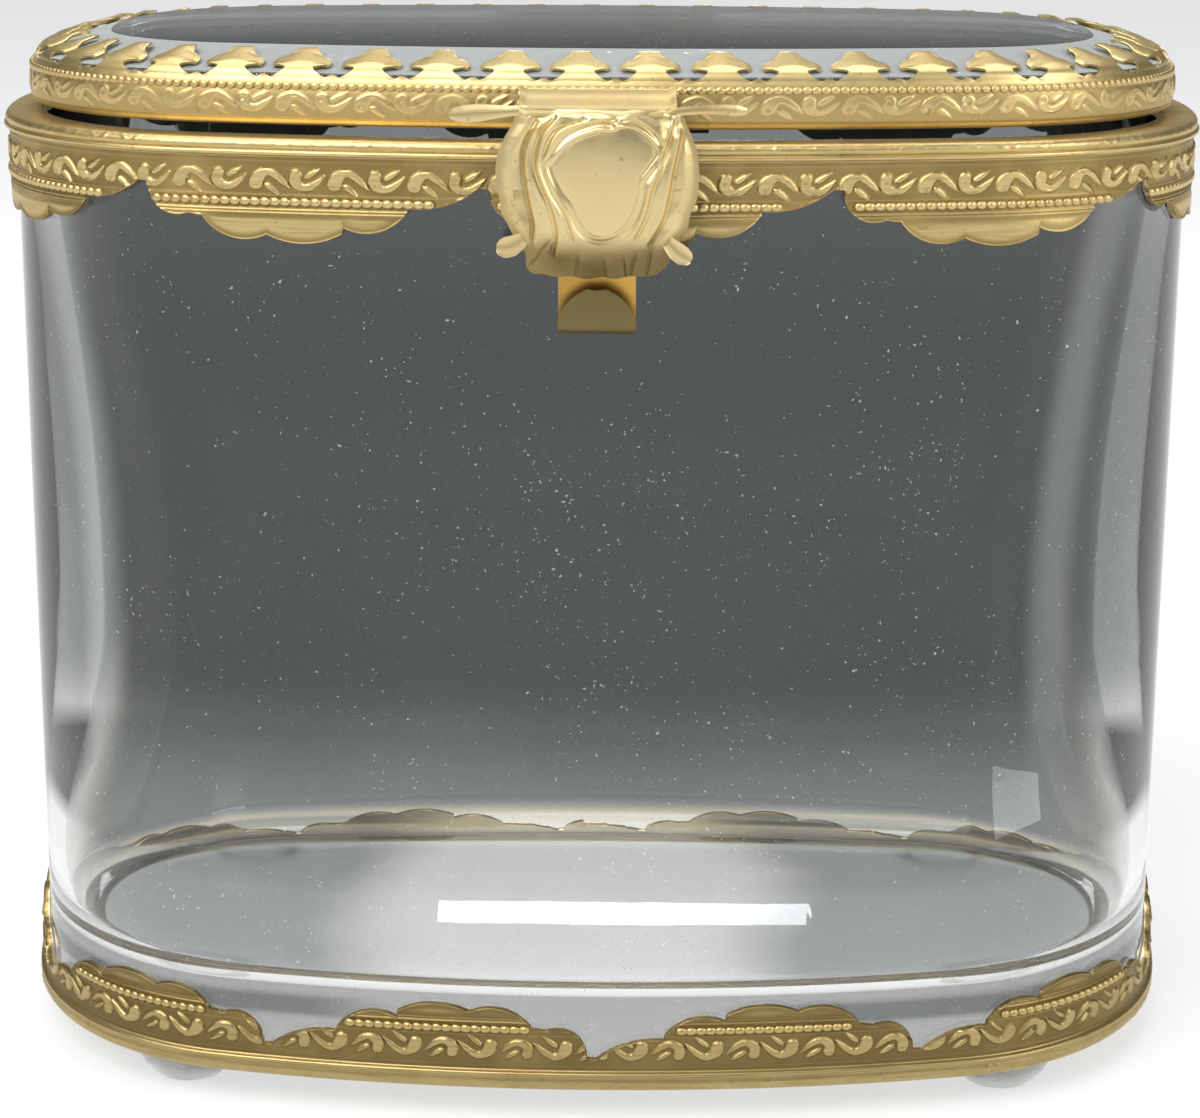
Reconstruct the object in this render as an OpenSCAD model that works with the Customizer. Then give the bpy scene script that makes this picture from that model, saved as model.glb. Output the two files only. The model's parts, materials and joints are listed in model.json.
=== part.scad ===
// Oval casket of thick moulded glass with stamped gilt-brass mounts, a
// bevelled glass lid hinged at the back and a hinged spring clasp in front.
// The origin is at the middle of the plan, on the plane the feet stand on:
// +X to the right, +Y to the back, +Z up. All sizes are in millimetres.

/* [Plan of the box] */
// Width of the glass body
glass_w = 132; // [120:1:150]
// Depth of the glass body
glass_d = 84; // [78:1:96]
// Radius of the corners
corner_r = 30.5; // [27:0.5:33]
// Half the angle each bowed end turns through
end_deg = 12.7; // [10:0.1:16]
// Half the angle the bowed front and back turn through
bow_deg = 11.5; // [8:0.1:14]

/* [Glass body] */
// Height of the glass body, underside to rim
glass_h = 101.3; // [85:0.5:130]
// Thickness of the wall at the rim
wall_rim = 3.2; // [2.4:0.1:4]
// How much thicker the wall grows at the waist
wall_swell = 2.4; // [0.5:0.1:4]
// Share of the height at which the wall is thickest
waist_at = 0.36; // [0.3:0.01:0.6]
// Thickness of the floor
floor_t = 7.8; // [5:0.1:12]
// Fillet between the floor and the wall inside
floor_fillet = 5; // [2:0.5:7]
// Small round on the outer bottom edge
glass_round = 1.2; // [0.4:0.1:2]

/* [Lid glass] */
// Thickness of the lid glass at its edge
lid_edge_t = 4.45; // [3:0.05:6]
// Width of the bevel all round
bevel_w = 8.4; // [5:0.2:11]
// Height the bevel rises from the edge to the flat
bevel_rise = 2.25; // [1:0.05:3]
// Clearance between the lid glass and its bezel
lid_glass_clear = 0.15; // [0.05:0.05:0.5]

/* [Gilt strip] */
// Thickness of the stamped brass
strip_t = 0.6; // [0.5:0.05:0.8]
// Bed of cement between the brass and the glass
strip_bed = 0.15; // [0.1:0.05:0.3]
// Radius of the burnished ridge along the strip
ridge_r = 0.55; // [0.4:0.05:0.7]
// How far the ridge's centre stands off the glass
ridge_off = 1.1; // [0.9:0.05:1.3]
// Radius of the beaded line
bead_r = 0.35; // [0.2:0.05:0.45]
// Distance of the beaded line from the ridge
bead_drop = 5.3; // [4.5:0.1:6]
// Length of one scalloped repeat along the strip
repeat_l = 35.7; // [35.5:0.1:42]
// Deepest reach of the scallops from the ridge
strip_reach = 9.6; // [9.4:0.1:11]

/* [Collar] */
// Height of the rounded shoulder above the ridge
shoulder_h = 1.4; // [1.2:0.1:2]
// Radius of the shoulder's round edge
shoulder_r = 0.85; // [0.5:0.05:1]
// How far the folded flange reaches in over the rim
flange_in = 3.2; // [2:0.1:3.6]
// Place of the first scallop notch, from the front centre
collar_phase = -11.4; // [-17:0.05:17]

/* [Base band] */
// Height of the ridge above the underside of the band
base_ridge_h = 2; // [1.6:0.1:2.6]
// How much nearer the ridge lies to the scallops than on the collar
base_shift = 1.5; // [0:0.1:2]
// Radius of the bottom lip's round edge
lip_r = 1.2; // [0.8:0.05:1.3]
// How far the bottom lip turns in under the glass
lip_in = 4; // [2:0.1:6]
// Place of the first scallop notch, from the front centre
base_phase = -0.15; // [-17:0.05:17]

/* [Lid bezel] */
// Gap between the collar and the closed lid
lid_gap = 1.05; // [0.6:0.05:2]
// How far the bezel stands in from the outline of the glass body
bezel_in = 1.62; // [1:0.02:3]
// Height of the bezel to the foot of its prongs
bezel_h = 5.05; // [4.6:0.05:6]
// Width of the ledge that carries the lid glass
ledge_w = 3.2; // [2:0.1:4.5]
// Number of prongs folded over the lid glass
prong_n = 49; // [40:1:54]
// Place of the first prong, from the front centre
prong_phase = -1.9; // [-3.5:0.1:3.5]
// Length of a prong along the bevel
prong_l = 6.8; // [6.2:0.1:7]
// Height of a prong before it folds
prong_rise = 0.1; // [0.05:0.05:0.4]
// Width of a prong's neck
prong_neck = 2.7; // [2:0.1:3.2]
// Radius of the beaded line under the prongs
bezel_bead_r = 0.28; // [0.2:0.02:0.4]

/* [Lid hinge] */
// Width of the hinge leaves
hinge_w = 27.6; // [20:0.2:34]
// Number of knuckles
hinge_knuckles = 5; // [3:2:7]
// Outer radius of a knuckle
knuckle_r = 1.25; // [1.1:0.05:1.5]
// Radius of the hinge pin
hinge_pin_r = 0.6; // [0.4:0.05:0.7]
// Length of the leaf soldered to the collar
body_leaf_l = 8; // [5:0.5:9]

/* [Clasp] */
// Radius of the round shield
shield_r = 10.2; // [9:0.1:11]
// Height of the shield's centre below the clasp hinge
shield_drop = 7.8; // [7.4:0.1:9]
// Radius of the shield's domed face
dome_r = 60; // [58:1:90]
// Thickness of the shield
shield_t = 0.6; // [0.5:0.05:0.8]
// Radius of the raised boss on the shield
boss_r = 5.4; // [4:0.1:6]
// Height of the raised boss
boss_h = 1.6; // [0.8:0.1:2]
// Reach of the two pointed leaves, from the middle
leaf_reach = 14.9; // [13:0.1:16]
// Height of the leaves' tips above the shield's centre
leaf_rise = 5.9; // [5.5:0.1:6.4]
// Width of a leaf
leaf_w = 1.5; // [1.2:0.1:1.8]
// Length of the clasp's hinge barrel
barrel_l = 15.8; // [14:0.2:18]
// Outer radius of the clasp's hinge barrel
barrel_r = 0.8; // [0.75:0.05:0.9]
// Radius of the clasp's pin
clasp_pin_r = 0.35; // [0.25:0.05:0.4]
// Width of the spring tongue
tongue_w = 7.8; // [6:0.1:9]
// Drop of the tongue's lowest bend below the clasp hinge
tongue_drop = 22.9; // [21:0.1:26]
// Height of the half-round thumb lip
lip_h = 4.2; // [3:0.1:5]
// Radius of the stud that holds the clasp shut
stud_r = 1; // [0.8:0.1:1.4]
// Radius of the stud's soldered foot
stud_foot_r = 2.2; // [1.8:0.1:2.6]

/* [Feet] */
// Diameter of a bumper foot
foot_d = 12.7; // [10:0.1:14]
// Height of a bumper foot
foot_h = 3.5; // [3:0.1:5]
// Radius of the flat a foot stands on
foot_tip_r = 4.2; // [1.5:0.1:5]
// Distance of the feet's middles in from the ends of the glass
foot_in_x = 20.5; // [19:0.5:26]
// Distance of the feet's middles in from its front and back
foot_in_y = 12; // [11:0.5:18]

/* [Clearances] */
// Gap between neighbouring knuckles
knuckle_gap = 0.3; // [0.2:0.05:0.5]
// Running clearance of a pin in its knuckles
pin_clear = 0.05; // [0.02:0.01:0.09]
// Gap kept between parts that move past each other
move_gap = 0.32; // [0.3:0.02:0.5]
// Gap between soldered pieces
solder_gap = 0.05; // [0.02:0.01:0.1]

/* [Hidden] */
$fn = 96;
deg = 180 / PI;
gilt = [0.80, 0.68, 0.38];
clear_glass = [0.78, 0.84, 0.86, 0.45];
clear_rubber = [0.86, 0.88, 0.88, 0.6];

// Plan: four bowed arcs at the front, back and ends, and four corner arcs that
// meet them smoothly. The corner's centre follows from the width and the depth.
half_w = glass_w / 2;
half_d = glass_d / 2;
back_deg = 90 - bow_deg;
corner_sweep = back_deg - end_deg;
end_tan = tan(end_deg / 2);
bow_tan = tan(bow_deg / 2);
room_x = half_w - corner_r;
room_y = half_d - corner_r;
corner_x = (room_x - end_tan * room_y) / (1 - end_tan * bow_tan);
corner_y = room_y - bow_tan * corner_x;
end_reach = corner_y / sin(end_deg);
bow_reach = corner_x / cos(back_deg);
end_r = corner_r + end_reach;
front_r = corner_r + bow_reach;
corner_c = [corner_x, corner_y];
side_c = [corner_x - end_reach * cos(end_deg), 0];
back_c = [0, corner_y - bow_reach * sin(back_deg)];

// Heights, from the plane the feet stand on.
base_z = foot_h;
glass_z = base_z + strip_t + strip_bed;
rim_z = glass_z + glass_h;
collar_top = rim_z + strip_bed + strip_t;
ridge_z = collar_top - shoulder_h;
floor_z = glass_z + floor_t;
lid_z = collar_top + lid_gap;
lid_glass_z = lid_z + strip_t + lid_glass_clear;
lid_edge_z = lid_glass_z + lid_edge_t;
lid_top_z = lid_edge_z + bevel_rise;
valley_z = lid_z + bezel_h;
bezel_out = -bezel_in;
lid_glass_off = bezel_out - strip_t - lid_glass_clear;
bevel_deg = atan2(bevel_rise, bevel_w);

// Lobes of one repeat of the strip, measured from its notch along the strip
// and down from the ridge: start, end, level above which the strip is whole,
// then the centre (along, down) and the radius of the round edge.
LOBES = [
    [-0.4, 5.0, 3.3, 3.7, 3.5, 3.2],
    [5.0, 6.4, 5.9, 6.6, 0.6, 6.05],
    [6.4, 13.2, 6.0, 10.9, 3.6, 5.4],
    [13.2, 21.2, 7.5, 17.0, 0.8, 8.5],
    [21.2, 27.9, 5.5, 23.6, 2.95, 5.15],
    [27.9, 35.3, 3.2, 28.9, -4.5, 10]
];
lobe_lap = 0.04;
strip_face = strip_bed + strip_t;

// Point on the outline at a distance "s" to the right of the front centre,
// for an outline offset outwards by "off": x, y and the outward direction.
function on_arc(c, r, a) = [c.x + r * cos(a), c.y + r * sin(a), a];
function front_l(off) = (front_r + off) * (90 - back_deg) / deg;
function corner_l(off) = (corner_r + off) * corner_sweep / deg;
function end_l(off) = 2 * (end_r + off) * end_deg / deg;
function half_l(off) = 2 * front_l(off) + 2 * corner_l(off) + end_l(off);
function right_at(t, off) =
    let (l1 = front_l(off), l2 = l1 + corner_l(off), l3 = l2 + end_l(off),
         l4 = l3 + corner_l(off))
    t <= l1 ? on_arc(-back_c, front_r + off, -90 + t / (front_r + off) * deg) :
    t <= l2 ? on_arc([corner_c.x, -corner_c.y], corner_r + off,
                     -back_deg + (t - l1) / (corner_r + off) * deg) :
    t <= l3 ? on_arc(side_c, end_r + off, -end_deg + (t - l2) / (end_r + off) * deg) :
    t <= l4 ? on_arc(corner_c, corner_r + off, end_deg + (t - l3) / (corner_r + off) * deg) :
    on_arc(back_c, front_r + off, back_deg + (t - l4) / (front_r + off) * deg);
function wall_at(s, off) =
    let (p = right_at(abs(s), off)) s < 0 ? [-p.x, p.y, 180 - p[2]] : p;

// Puts its children on the outline: X outwards, Y along the wall, Z up.
module on_wall(s, off) {
    p = wall_at(s, off);
    translate([p.x, p.y, 0]) rotate([0, 0, p[2]]) children();
}

// Moves by a coarse step and then by the remainder, so that neighbouring arcs
// meet exactly.
module place(v) {
    coarse = [for (c = v) round(10 * c) / 10];
    translate(coarse) translate(v - coarse) children();
}

module mirrored(x, y) {
    mirror([x, 0, 0]) mirror([0, y, 0]) children();
}

// One arc of the plan; the children are a profile with X outwards from the
// glass and Y upwards.
module arc(c, r, from, turn) {
    place([c.x, c.y, 0]) rotate_extrude(angle = turn, start = from) place([r, 0]) children();
}

// Carries a profile round the whole outline.
module sweep() {
    for (side = [0, 1]) {
        mirrored(side, 0) arc(side_c, end_r, -end_deg, 2 * end_deg) children();
        mirrored(0, side) arc(back_c, front_r, back_deg, 2 * bow_deg) children();
        for (end = [0, 1]) mirrored(side, end) arc(corner_c, corner_r, end_deg, corner_sweep) children();
    }
}

// A flat core that fills a swept ring, its edge "off" from the outline.
module core(off, z, h) {
    steps = 64;
    total = 2 * half_l(off);
    translate([0, 0, z]) linear_extrude(h)
        polygon([for (i = [0:steps - 1]) let (p = wall_at((i + 0.5 - steps / 2) / steps * total, off)) [p.x, p.y]]);
}

// ---- glass ----

// Distance of the inner wall from the outline at a share "t" of the height:
// thin at the rim, thick at the waist, thinner again towards the floor.
function wall_off(t) =
    -wall_rim - wall_swell * (t > waist_at ? pow(cos(90 * (t - waist_at) / (1 - waist_at)), 1.5)
                                           : 0.45 + 0.55 * pow(cos(90 * (waist_at - t) / waist_at), 2));

module glass_profile() {
    wall_steps = 10;
    fillet_steps = 5;
    inner_h = rim_z - floor_z - floor_fillet;
    foot_off = wall_off(0);
    inner = [for (i = [0:wall_steps]) let (t = 1 - i / wall_steps)
             [wall_off(t), floor_z + floor_fillet + t * inner_h]];
    fillet = [for (i = [1:fillet_steps]) let (a = 90 * i / fillet_steps)
              [foot_off - floor_fillet * (1 - cos(a)), floor_z + floor_fillet * (1 - sin(a))]];
    outer = [[foot_off - floor_fillet - 4, floor_z], [foot_off - floor_fillet - 4, glass_z],
             [-glass_round, glass_z]];
    edge = [for (i = [1:3]) let (a = 30 * i)
            [-glass_round + glass_round * sin(a), glass_z + glass_round * (1 - cos(a))]];
    polygon(concat(inner, fillet, outer, edge, [[0, rim_z]]));
}

module glass_body() {
    color(clear_glass) union() {
        sweep() glass_profile();
        core(wall_off(0) - floor_fillet - 2, glass_z, floor_t);
    }
}

module lid_glass() {
    inner = lid_glass_off - bevel_w;
    color(clear_glass) union() {
        sweep() polygon([[inner - 3, lid_glass_z], [lid_glass_off - 0.4, lid_glass_z],
                         [lid_glass_off, lid_glass_z + 0.4], [lid_glass_off, lid_edge_z],
                         [inner, lid_top_z], [inner - 3, lid_top_z]]);
        core(inner - 1.5, lid_glass_z, lid_top_z - lid_glass_z);
    }
}

// ---- stamped strip ----

// The part of the wall that lies outside a lobe's round edge.
module lobe_gap(lobe) {
    mid = (lobe[0] + lobe[1]) / 2;
    half = (lobe[1] - lobe[0]) / 2 + lobe_lap;
    difference() {
        translate([-half, -strip_reach - 0.5])
            square([2 * half, strip_reach + 0.5 - lobe[2]]);
        translate([lobe[3] - mid, -lobe[4]]) circle(lobe[5]);
    }
}

// Cutters for the scalloped edge. "way" is 1 with the scallops hanging down
// and -1 with the strip turned head over heels.
module scallop_cutters(phase, z, way) {
    last = ceil(half_l(strip_face) / repeat_l) + 1;
    for (k = [-last:last], lobe = LOBES) {
        mid = (lobe[0] + lobe[1]) / 2;
        s = phase + k * repeat_l + way * mid;
        if (abs(s) < half_l(strip_face) - lobe_lap)
            on_wall(s, strip_face) translate([-2, 0, z]) rotate([90, 0, 90])
                linear_extrude(4.5) rotate(way > 0 ? 0 : 180) lobe_gap(lobe);
    }
}

function arc_points(c, r, from, to, n) =
    [for (i = [0:n]) let (a = from + (to - from) * i / n) c + r * [cos(a), sin(a)]];

// Outer side of the strip, from its scalloped end up to the ridge, the ridge
// at height 0.
function strip_side(reach) = concat(
    [[strip_face, -reach]],
    arc_points([strip_face, -bead_drop], bead_r, -90, 90, 6),
    [[strip_face, -ridge_r - 0.4]],
    arc_points([ridge_off, 0], ridge_r, -90, 60, 10));

module collar_profile() {
    under = shoulder_h - strip_t;
    polygon(concat(strip_side(strip_reach),
        arc_points([ridge_off - shoulder_r, shoulder_h - shoulder_r], shoulder_r, 0, 90, 6),
        [[-flange_in, shoulder_h], [-flange_in, under], [strip_bed, under], [strip_bed, -strip_reach]]));
}

// The same strip head over heels, with a lip below its ridge that is turned in
// under the glass.
module base_profile() {
    reach = strip_reach - base_shift;
    lip_c = [ridge_off + ridge_r - 0.3 - lip_r, lip_r - base_ridge_h];
    over = strip_t - base_ridge_h;
    polygon(concat([for (p = strip_side(reach)) [p.x, -p.y]],
        arc_points(lip_c, lip_r, 0, -90, 6),
        [[-lip_in, -base_ridge_h], [-lip_in, over], [strip_bed, over], [strip_bed, reach]]));
}

module collar_band() {
    color(gilt) translate([0, 0, ridge_z]) difference() {
        sweep() collar_profile();
        scallop_cutters(collar_phase, 0, 1);
    }
}

module base_band() {
    color(gilt) translate([0, 0, base_z + base_ridge_h]) difference() {
        sweep() base_profile();
        scallop_cutters(base_phase, -base_shift, -1);
    }
}

// ---- lid bezel with its gallery of prongs ----

module bezel_profile() {
    turn = 0.9;
    translate([bezel_out - strip_t, lid_z + turn]) square([strip_t, bezel_h - turn]);
    intersection() {
        difference() {
            translate([bezel_out - turn, lid_z + turn]) circle(turn);
            translate([bezel_out - turn, lid_z + turn]) circle(turn - strip_t);
        }
        translate([bezel_out - turn - 0.05, lid_z]) square([turn + 0.1, turn + 0.05]);
    }
    translate([bezel_out - strip_t - ledge_w, lid_z]) square([ledge_w + strip_t - turn, strip_t]);
    translate([bezel_out, valley_z - 1.15]) circle(bezel_bead_r, $fn = 32);
}

// Face of a prong, from its root inwards: a flared neck, two side lobes and
// a long hump.
module prong_face() {
    lobe_at = prong_l * 0.47;
    lobe_r = 1.25;
    hump_r = 1.1;
    flare = prong_neck / 2 + 0.95;
    translate([-0.3, -prong_neck / 2]) square([lobe_at, prong_neck]);
    polygon([[-0.3, -flare], [0.3, -flare], [1.3, -prong_neck / 2],
             [1.3, prong_neck / 2], [0.3, flare], [-0.3, flare]]);
    for (side = [-1, 1]) translate([lobe_at, side * 1.35]) circle(lobe_r, $fn = 32);
    polygon([[lobe_at - 0.4, -1.5], [prong_l - 1.3, -hump_r + 0.15],
             [prong_l - 1.3, hump_r - 0.15], [lobe_at - 0.4, 1.5]]);
    translate([prong_l - hump_r, 0]) circle(hump_r, $fn = 32);
}

module prong() {
    flare = prong_neck + 1.9;
    translate([-strip_t, -flare / 2, valley_z - 0.3]) cube([strip_t, flare, prong_rise + 0.5]);
    translate([0, 0, valley_z + prong_rise]) rotate([0, bevel_deg, 0])
        mirror([1, 0, 0]) linear_extrude(strip_t - 0.1) prong_face();
}

module lid_bezel() {
    pitch = 2 * half_l(bezel_out) / prong_n;
    color(gilt) union() {
        sweep() bezel_profile();
        for (i = [0:prong_n - 1]) {
            s = prong_phase + i * pitch;
            on_wall(s > half_l(bezel_out) ? s - 2 * half_l(bezel_out) : s, bezel_out) prong();
        }
    }
}

// ---- lid hinge ----

body_leaf_y = half_d + ridge_off + ridge_r + solder_gap;
hinge_y = body_leaf_y + knuckle_r;
hinge_z = (collar_top + lid_z) / 2;
leaf_t = 0.6;
knuckle_l = (hinge_w - (hinge_knuckles - 1) * knuckle_gap) / hinge_knuckles;

module rod_x(r, l) {
    rotate([0, 90, 0]) cylinder(r = r, h = l, center = true, $fn = 48);
}

// Every second knuckle, from "first"; children is one knuckle's own stock.
module knuckle_row(first) {
    for (i = [first:2:hinge_knuckles - 1])
        translate([-hinge_w / 2 + knuckle_l / 2 + i * (knuckle_l + knuckle_gap), 0, 0]) children();
}

module body_hinge_leaf() {
    leaf_top = hinge_z - knuckle_r - move_gap;
    color(gilt) difference() {
        union() {
            translate([-hinge_w / 2, body_leaf_y, leaf_top - body_leaf_l])
                cube([hinge_w, leaf_t, body_leaf_l]);
            knuckle_row(0) {
                translate([0, hinge_y, hinge_z]) rod_x(knuckle_r, knuckle_l);
                translate([-knuckle_l / 2, body_leaf_y, leaf_top - 0.5])
                    cube([knuckle_l, leaf_t, hinge_z - leaf_top + 0.5]);
            }
        }
        translate([0, hinge_y, hinge_z]) rod_x(hinge_pin_r + pin_clear, hinge_w + 2);
    }
}

module lid_hinge_leaf() {
    leaf_y = half_d + bezel_out + bezel_bead_r + solder_gap;
    strap_z = hinge_z + knuckle_r - leaf_t;
    color(gilt) difference() {
        union() {
            translate([-hinge_w / 2, leaf_y, strap_z])
                cube([hinge_w, leaf_t, valley_z - 0.3 - strap_z]);
            knuckle_row(1) {
                translate([0, hinge_y, hinge_z]) rod_x(knuckle_r, knuckle_l);
                translate([-knuckle_l / 2, leaf_y, strap_z])
                    cube([knuckle_l, hinge_y - leaf_y, leaf_t]);
            }
        }
        translate([0, hinge_y, hinge_z]) rod_x(hinge_pin_r + pin_clear, hinge_w + 2);
    }
}

module hinge_pin() {
    color(gilt) translate([0, hinge_y, hinge_z]) rod_x(hinge_pin_r, hinge_w + 1);
}

// ---- clasp ----

clasp_y = -(half_d + bezel_out + bezel_bead_r + move_gap + barrel_r);
clasp_z = valley_z - 1.4;
ear_l = 3.5;
strip_plate_t = 0.4;
strip_rise = 1;
shield_z = clasp_z - shield_drop;
tongue_y = -(half_d + ridge_off + ridge_r + 0.6);
shield_front_y = tongue_y - leaf_t - 1.75;
dome_c = shield_front_y + dome_r;
stud_z = ridge_z - 5.9;

// Shield seen from the front: its round field is cut off under the barrel,
// with a skirt, two curls and two pointed leaves.
module shield_face() {
    top = clasp_z - barrel_r - shield_z;
    translate([0, shield_z]) difference() {
        union() {
            circle(shield_r);
            polygon([[-8.2, -5], [8.2, -5], [6.3, -shield_r + 0.8], [-6.6, -shield_r + 0.8]]);
            for (side = [-1, 1]) {
                translate([side * 8.4, -7.4]) circle(1.3, $fn = 48);
                translate([side * 7.3, -6.6]) circle(1.2, $fn = 48);
                polygon([[side * boss_r, leaf_rise - 0.6 * leaf_w],
                         [side * 0.84 * leaf_reach, leaf_rise - 2 / 3 * leaf_w],
                         [side * leaf_reach, leaf_rise],
                         [side * 0.84 * leaf_reach, leaf_rise + leaf_w / 3],
                         [side * boss_r, top + leaf_w]]);
            }
        }
        translate([-leaf_reach, top]) square([2 * leaf_reach, shield_r]);
    }
}

module clasp_shield() {
    strap_w = barrel_l - 2 * ear_l - 2 * knuckle_gap;
    boss_sphere = (boss_r * boss_r + boss_h * boss_h) / (2 * boss_h);
    color(gilt) difference() {
        union() {
            intersection() {
                difference() {
                    translate([0, dome_c, shield_z]) sphere(dome_r, $fn = 180);
                    translate([0, dome_c, shield_z]) sphere(dome_r - shield_t, $fn = 180);
                }
                translate([0, -half_d, 0]) rotate([90, 0, 0])
                    translate([0, 0, -shield_r]) linear_extrude(2 * shield_r) shield_face();
            }
            intersection() {
                translate([0, shield_front_y - boss_h + boss_sphere + 0.35, shield_z])
                    sphere(boss_sphere, $fn = 96);
                translate([0, shield_front_y + 0.5, shield_z]) rotate([90, 0, 0]) cylinder(r = boss_r, h = boss_h + 1);
            }
            translate([0, clasp_y, clasp_z]) {
                rod_x(barrel_r, strap_w);
                rotate([90, 0, 90]) translate([0, 0, -strap_w / 2]) linear_extrude(strap_w)
                    polygon([[-barrel_r, 0.1], [-0.25, 0.1], [-0.25, -1],
                             [shield_front_y - clasp_y + 0.6, -2.75],
                             [shield_front_y - clasp_y + 0.6, -1.95], [-barrel_r, -0.5]]);
            }
        }
        translate([0, clasp_y, clasp_z]) rod_x(clasp_pin_r + pin_clear, barrel_l + 2);
    }
}

module clasp_tongue() {
    bend_r = 1.3;
    bend_z = clasp_z - tongue_drop + bend_r;
    top_z = shield_z + 5;
    pad_y = shield_front_y + shield_t + 0.4;
    color(gilt) difference() {
        union() {
            translate([-tongue_w / 2, tongue_y - leaf_t, bend_z])
                cube([tongue_w, leaf_t, top_z - bend_z]);
            translate([-tongue_w / 2, pad_y, top_z - 1.2])
                cube([tongue_w, tongue_y - pad_y, 1.2]);
            intersection() {
                difference() {
                    translate([0, tongue_y - bend_r, bend_z]) rod_x(bend_r, tongue_w);
                    translate([0, tongue_y - bend_r, bend_z]) rod_x(bend_r - leaf_t, tongue_w + 1);
                }
                translate([-tongue_w, tongue_y - 3 * bend_r, bend_z - 2 * bend_r])
                    cube([2 * tongue_w, 4 * bend_r, 2 * bend_r]);
            }
            translate([0, tongue_y - 2 * bend_r + leaf_t, bend_z - bend_r]) rotate([90, 0, 0])
                linear_extrude(leaf_t) intersection() {
                    round_lip();
                    translate([-tongue_w, bend_r]) square([2 * tongue_w, lip_h]);
                }
        }
        translate([0, tongue_y - 1, stud_z]) rotate([90, 0, 0]) cylinder(r = stud_r + move_gap + 0.08, h = tongue_w / 2, center = true);
    }
}

// Half-round end of the thumb lip.
module round_lip() {
    lip_r = (tongue_w * tongue_w / 4 + lip_h * lip_h) / (2 * lip_h);
    translate([0, lip_h - lip_r]) circle(lip_r);
}

module clasp_hinge_strip() {
    plate_deg = barrel_l / (front_r + bezel_out) * deg;
    plate_top = clasp_z - barrel_r - move_gap;
    front_face = half_d + bezel_out;
    color(gilt) difference() {
        union() {
            translate([0, -back_c.y, 0]) rotate([0, 0, -90 - plate_deg / 2])
                rotate_extrude(angle = plate_deg, $fn = 360)
                    translate([front_r + bezel_out + solder_gap, lid_z + strip_rise])
                        square([strip_plate_t, plate_top - lid_z - strip_rise]);
            for (side = [-1, 1]) translate([side * (barrel_l - ear_l) / 2, 0, 0]) {
                translate([0, clasp_y, clasp_z]) rod_x(barrel_r, ear_l);
                translate([-ear_l / 2, clasp_y, plate_top - strip_plate_t])
                    cube([ear_l, -clasp_y - front_face - 2 * solder_gap, clasp_z - plate_top]);
            }
        }
        translate([0, clasp_y, clasp_z]) rod_x(clasp_pin_r + pin_clear, barrel_l + 2);
    }
}

module clasp_pin() {
    color(gilt) translate([0, clasp_y, clasp_z]) rod_x(clasp_pin_r, barrel_l + 0.2);
}

// Round-nosed stud on the collar that the tongue's hole springs over.
module catch_stud() {
    foot_y0 = -(half_d + strip_bed + strip_t + bead_r + solder_gap);
    nose_y = tongue_y + move_gap;
    color(gilt) translate([0, foot_y0, stud_z]) rotate([90, 0, 0]) {
        cylinder(r = stud_foot_r, h = strip_plate_t);
        cylinder(r = stud_r, h = foot_y0 - nose_y);
    }
}

// ---- feet ----

// Domed bumper with its flat stuck face up and a small flat where it stands.
module foot(sx, sy) {
    centre_z = (foot_h * foot_h + foot_d * foot_d / 4 - foot_tip_r * foot_tip_r) / (2 * foot_h);
    color(clear_rubber) translate([sx * (half_w - foot_in_x), sy * (half_d - foot_in_y), 0]) intersection() {
        cylinder(d = foot_d, h = foot_h);
        translate([0, 0, centre_z]) sphere(norm([centre_z, foot_tip_r]));
    }
}

module foot_front_left() { foot(-1, -1); }
module foot_front_right() { foot(1, -1); }
module foot_back_left() { foot(-1, 1); }
module foot_back_right() { foot(1, 1); }

glass_body();
collar_band();
base_band();
lid_glass();
lid_bezel();
body_hinge_leaf();
lid_hinge_leaf();
hinge_pin();
clasp_shield();
clasp_tongue();
clasp_hinge_strip();
clasp_pin();
catch_stud();
foot_front_left();
foot_front_right();
foot_back_left();
foot_back_right();
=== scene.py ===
"""Visual model of an oval glass casket with stamped gilt-brass mounts.

Sizes are in millimetres and are turned into metres when a mesh is finished.
+X is to the right, +Y to the back and +Z up, on the plane the feet stand on.
"""
import json
import logging
import math
from dataclasses import dataclass
from enum import Enum
from typing import Callable, Optional, Sequence

import bmesh
import bpy
import numpy as np
from mathutils import Matrix, Vector

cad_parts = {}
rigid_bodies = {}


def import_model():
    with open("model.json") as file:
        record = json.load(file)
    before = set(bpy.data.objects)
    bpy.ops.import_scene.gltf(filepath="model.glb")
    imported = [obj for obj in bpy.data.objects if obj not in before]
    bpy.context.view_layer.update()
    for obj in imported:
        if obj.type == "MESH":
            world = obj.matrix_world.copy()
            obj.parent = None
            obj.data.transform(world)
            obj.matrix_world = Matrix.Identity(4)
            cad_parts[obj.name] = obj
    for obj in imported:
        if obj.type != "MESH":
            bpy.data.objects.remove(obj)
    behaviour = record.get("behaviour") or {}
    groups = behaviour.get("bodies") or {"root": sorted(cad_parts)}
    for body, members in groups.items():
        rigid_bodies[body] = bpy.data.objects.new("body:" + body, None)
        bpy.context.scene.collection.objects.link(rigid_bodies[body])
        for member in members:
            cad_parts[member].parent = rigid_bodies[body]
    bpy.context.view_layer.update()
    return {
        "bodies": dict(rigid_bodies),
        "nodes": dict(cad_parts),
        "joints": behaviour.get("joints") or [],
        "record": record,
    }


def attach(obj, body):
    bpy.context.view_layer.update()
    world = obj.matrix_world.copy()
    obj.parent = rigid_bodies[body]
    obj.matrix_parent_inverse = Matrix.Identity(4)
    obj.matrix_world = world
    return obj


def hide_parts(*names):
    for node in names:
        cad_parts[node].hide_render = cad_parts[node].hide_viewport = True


LOG = logging.getLogger("glass_casket")
MM = 0.001
RIDGE_PAINT = 0.95
# Paint past 1 gives inner faces a lighter colour as painted light.
PAINTED_LIGHT_INSIDE = 1.6


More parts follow.
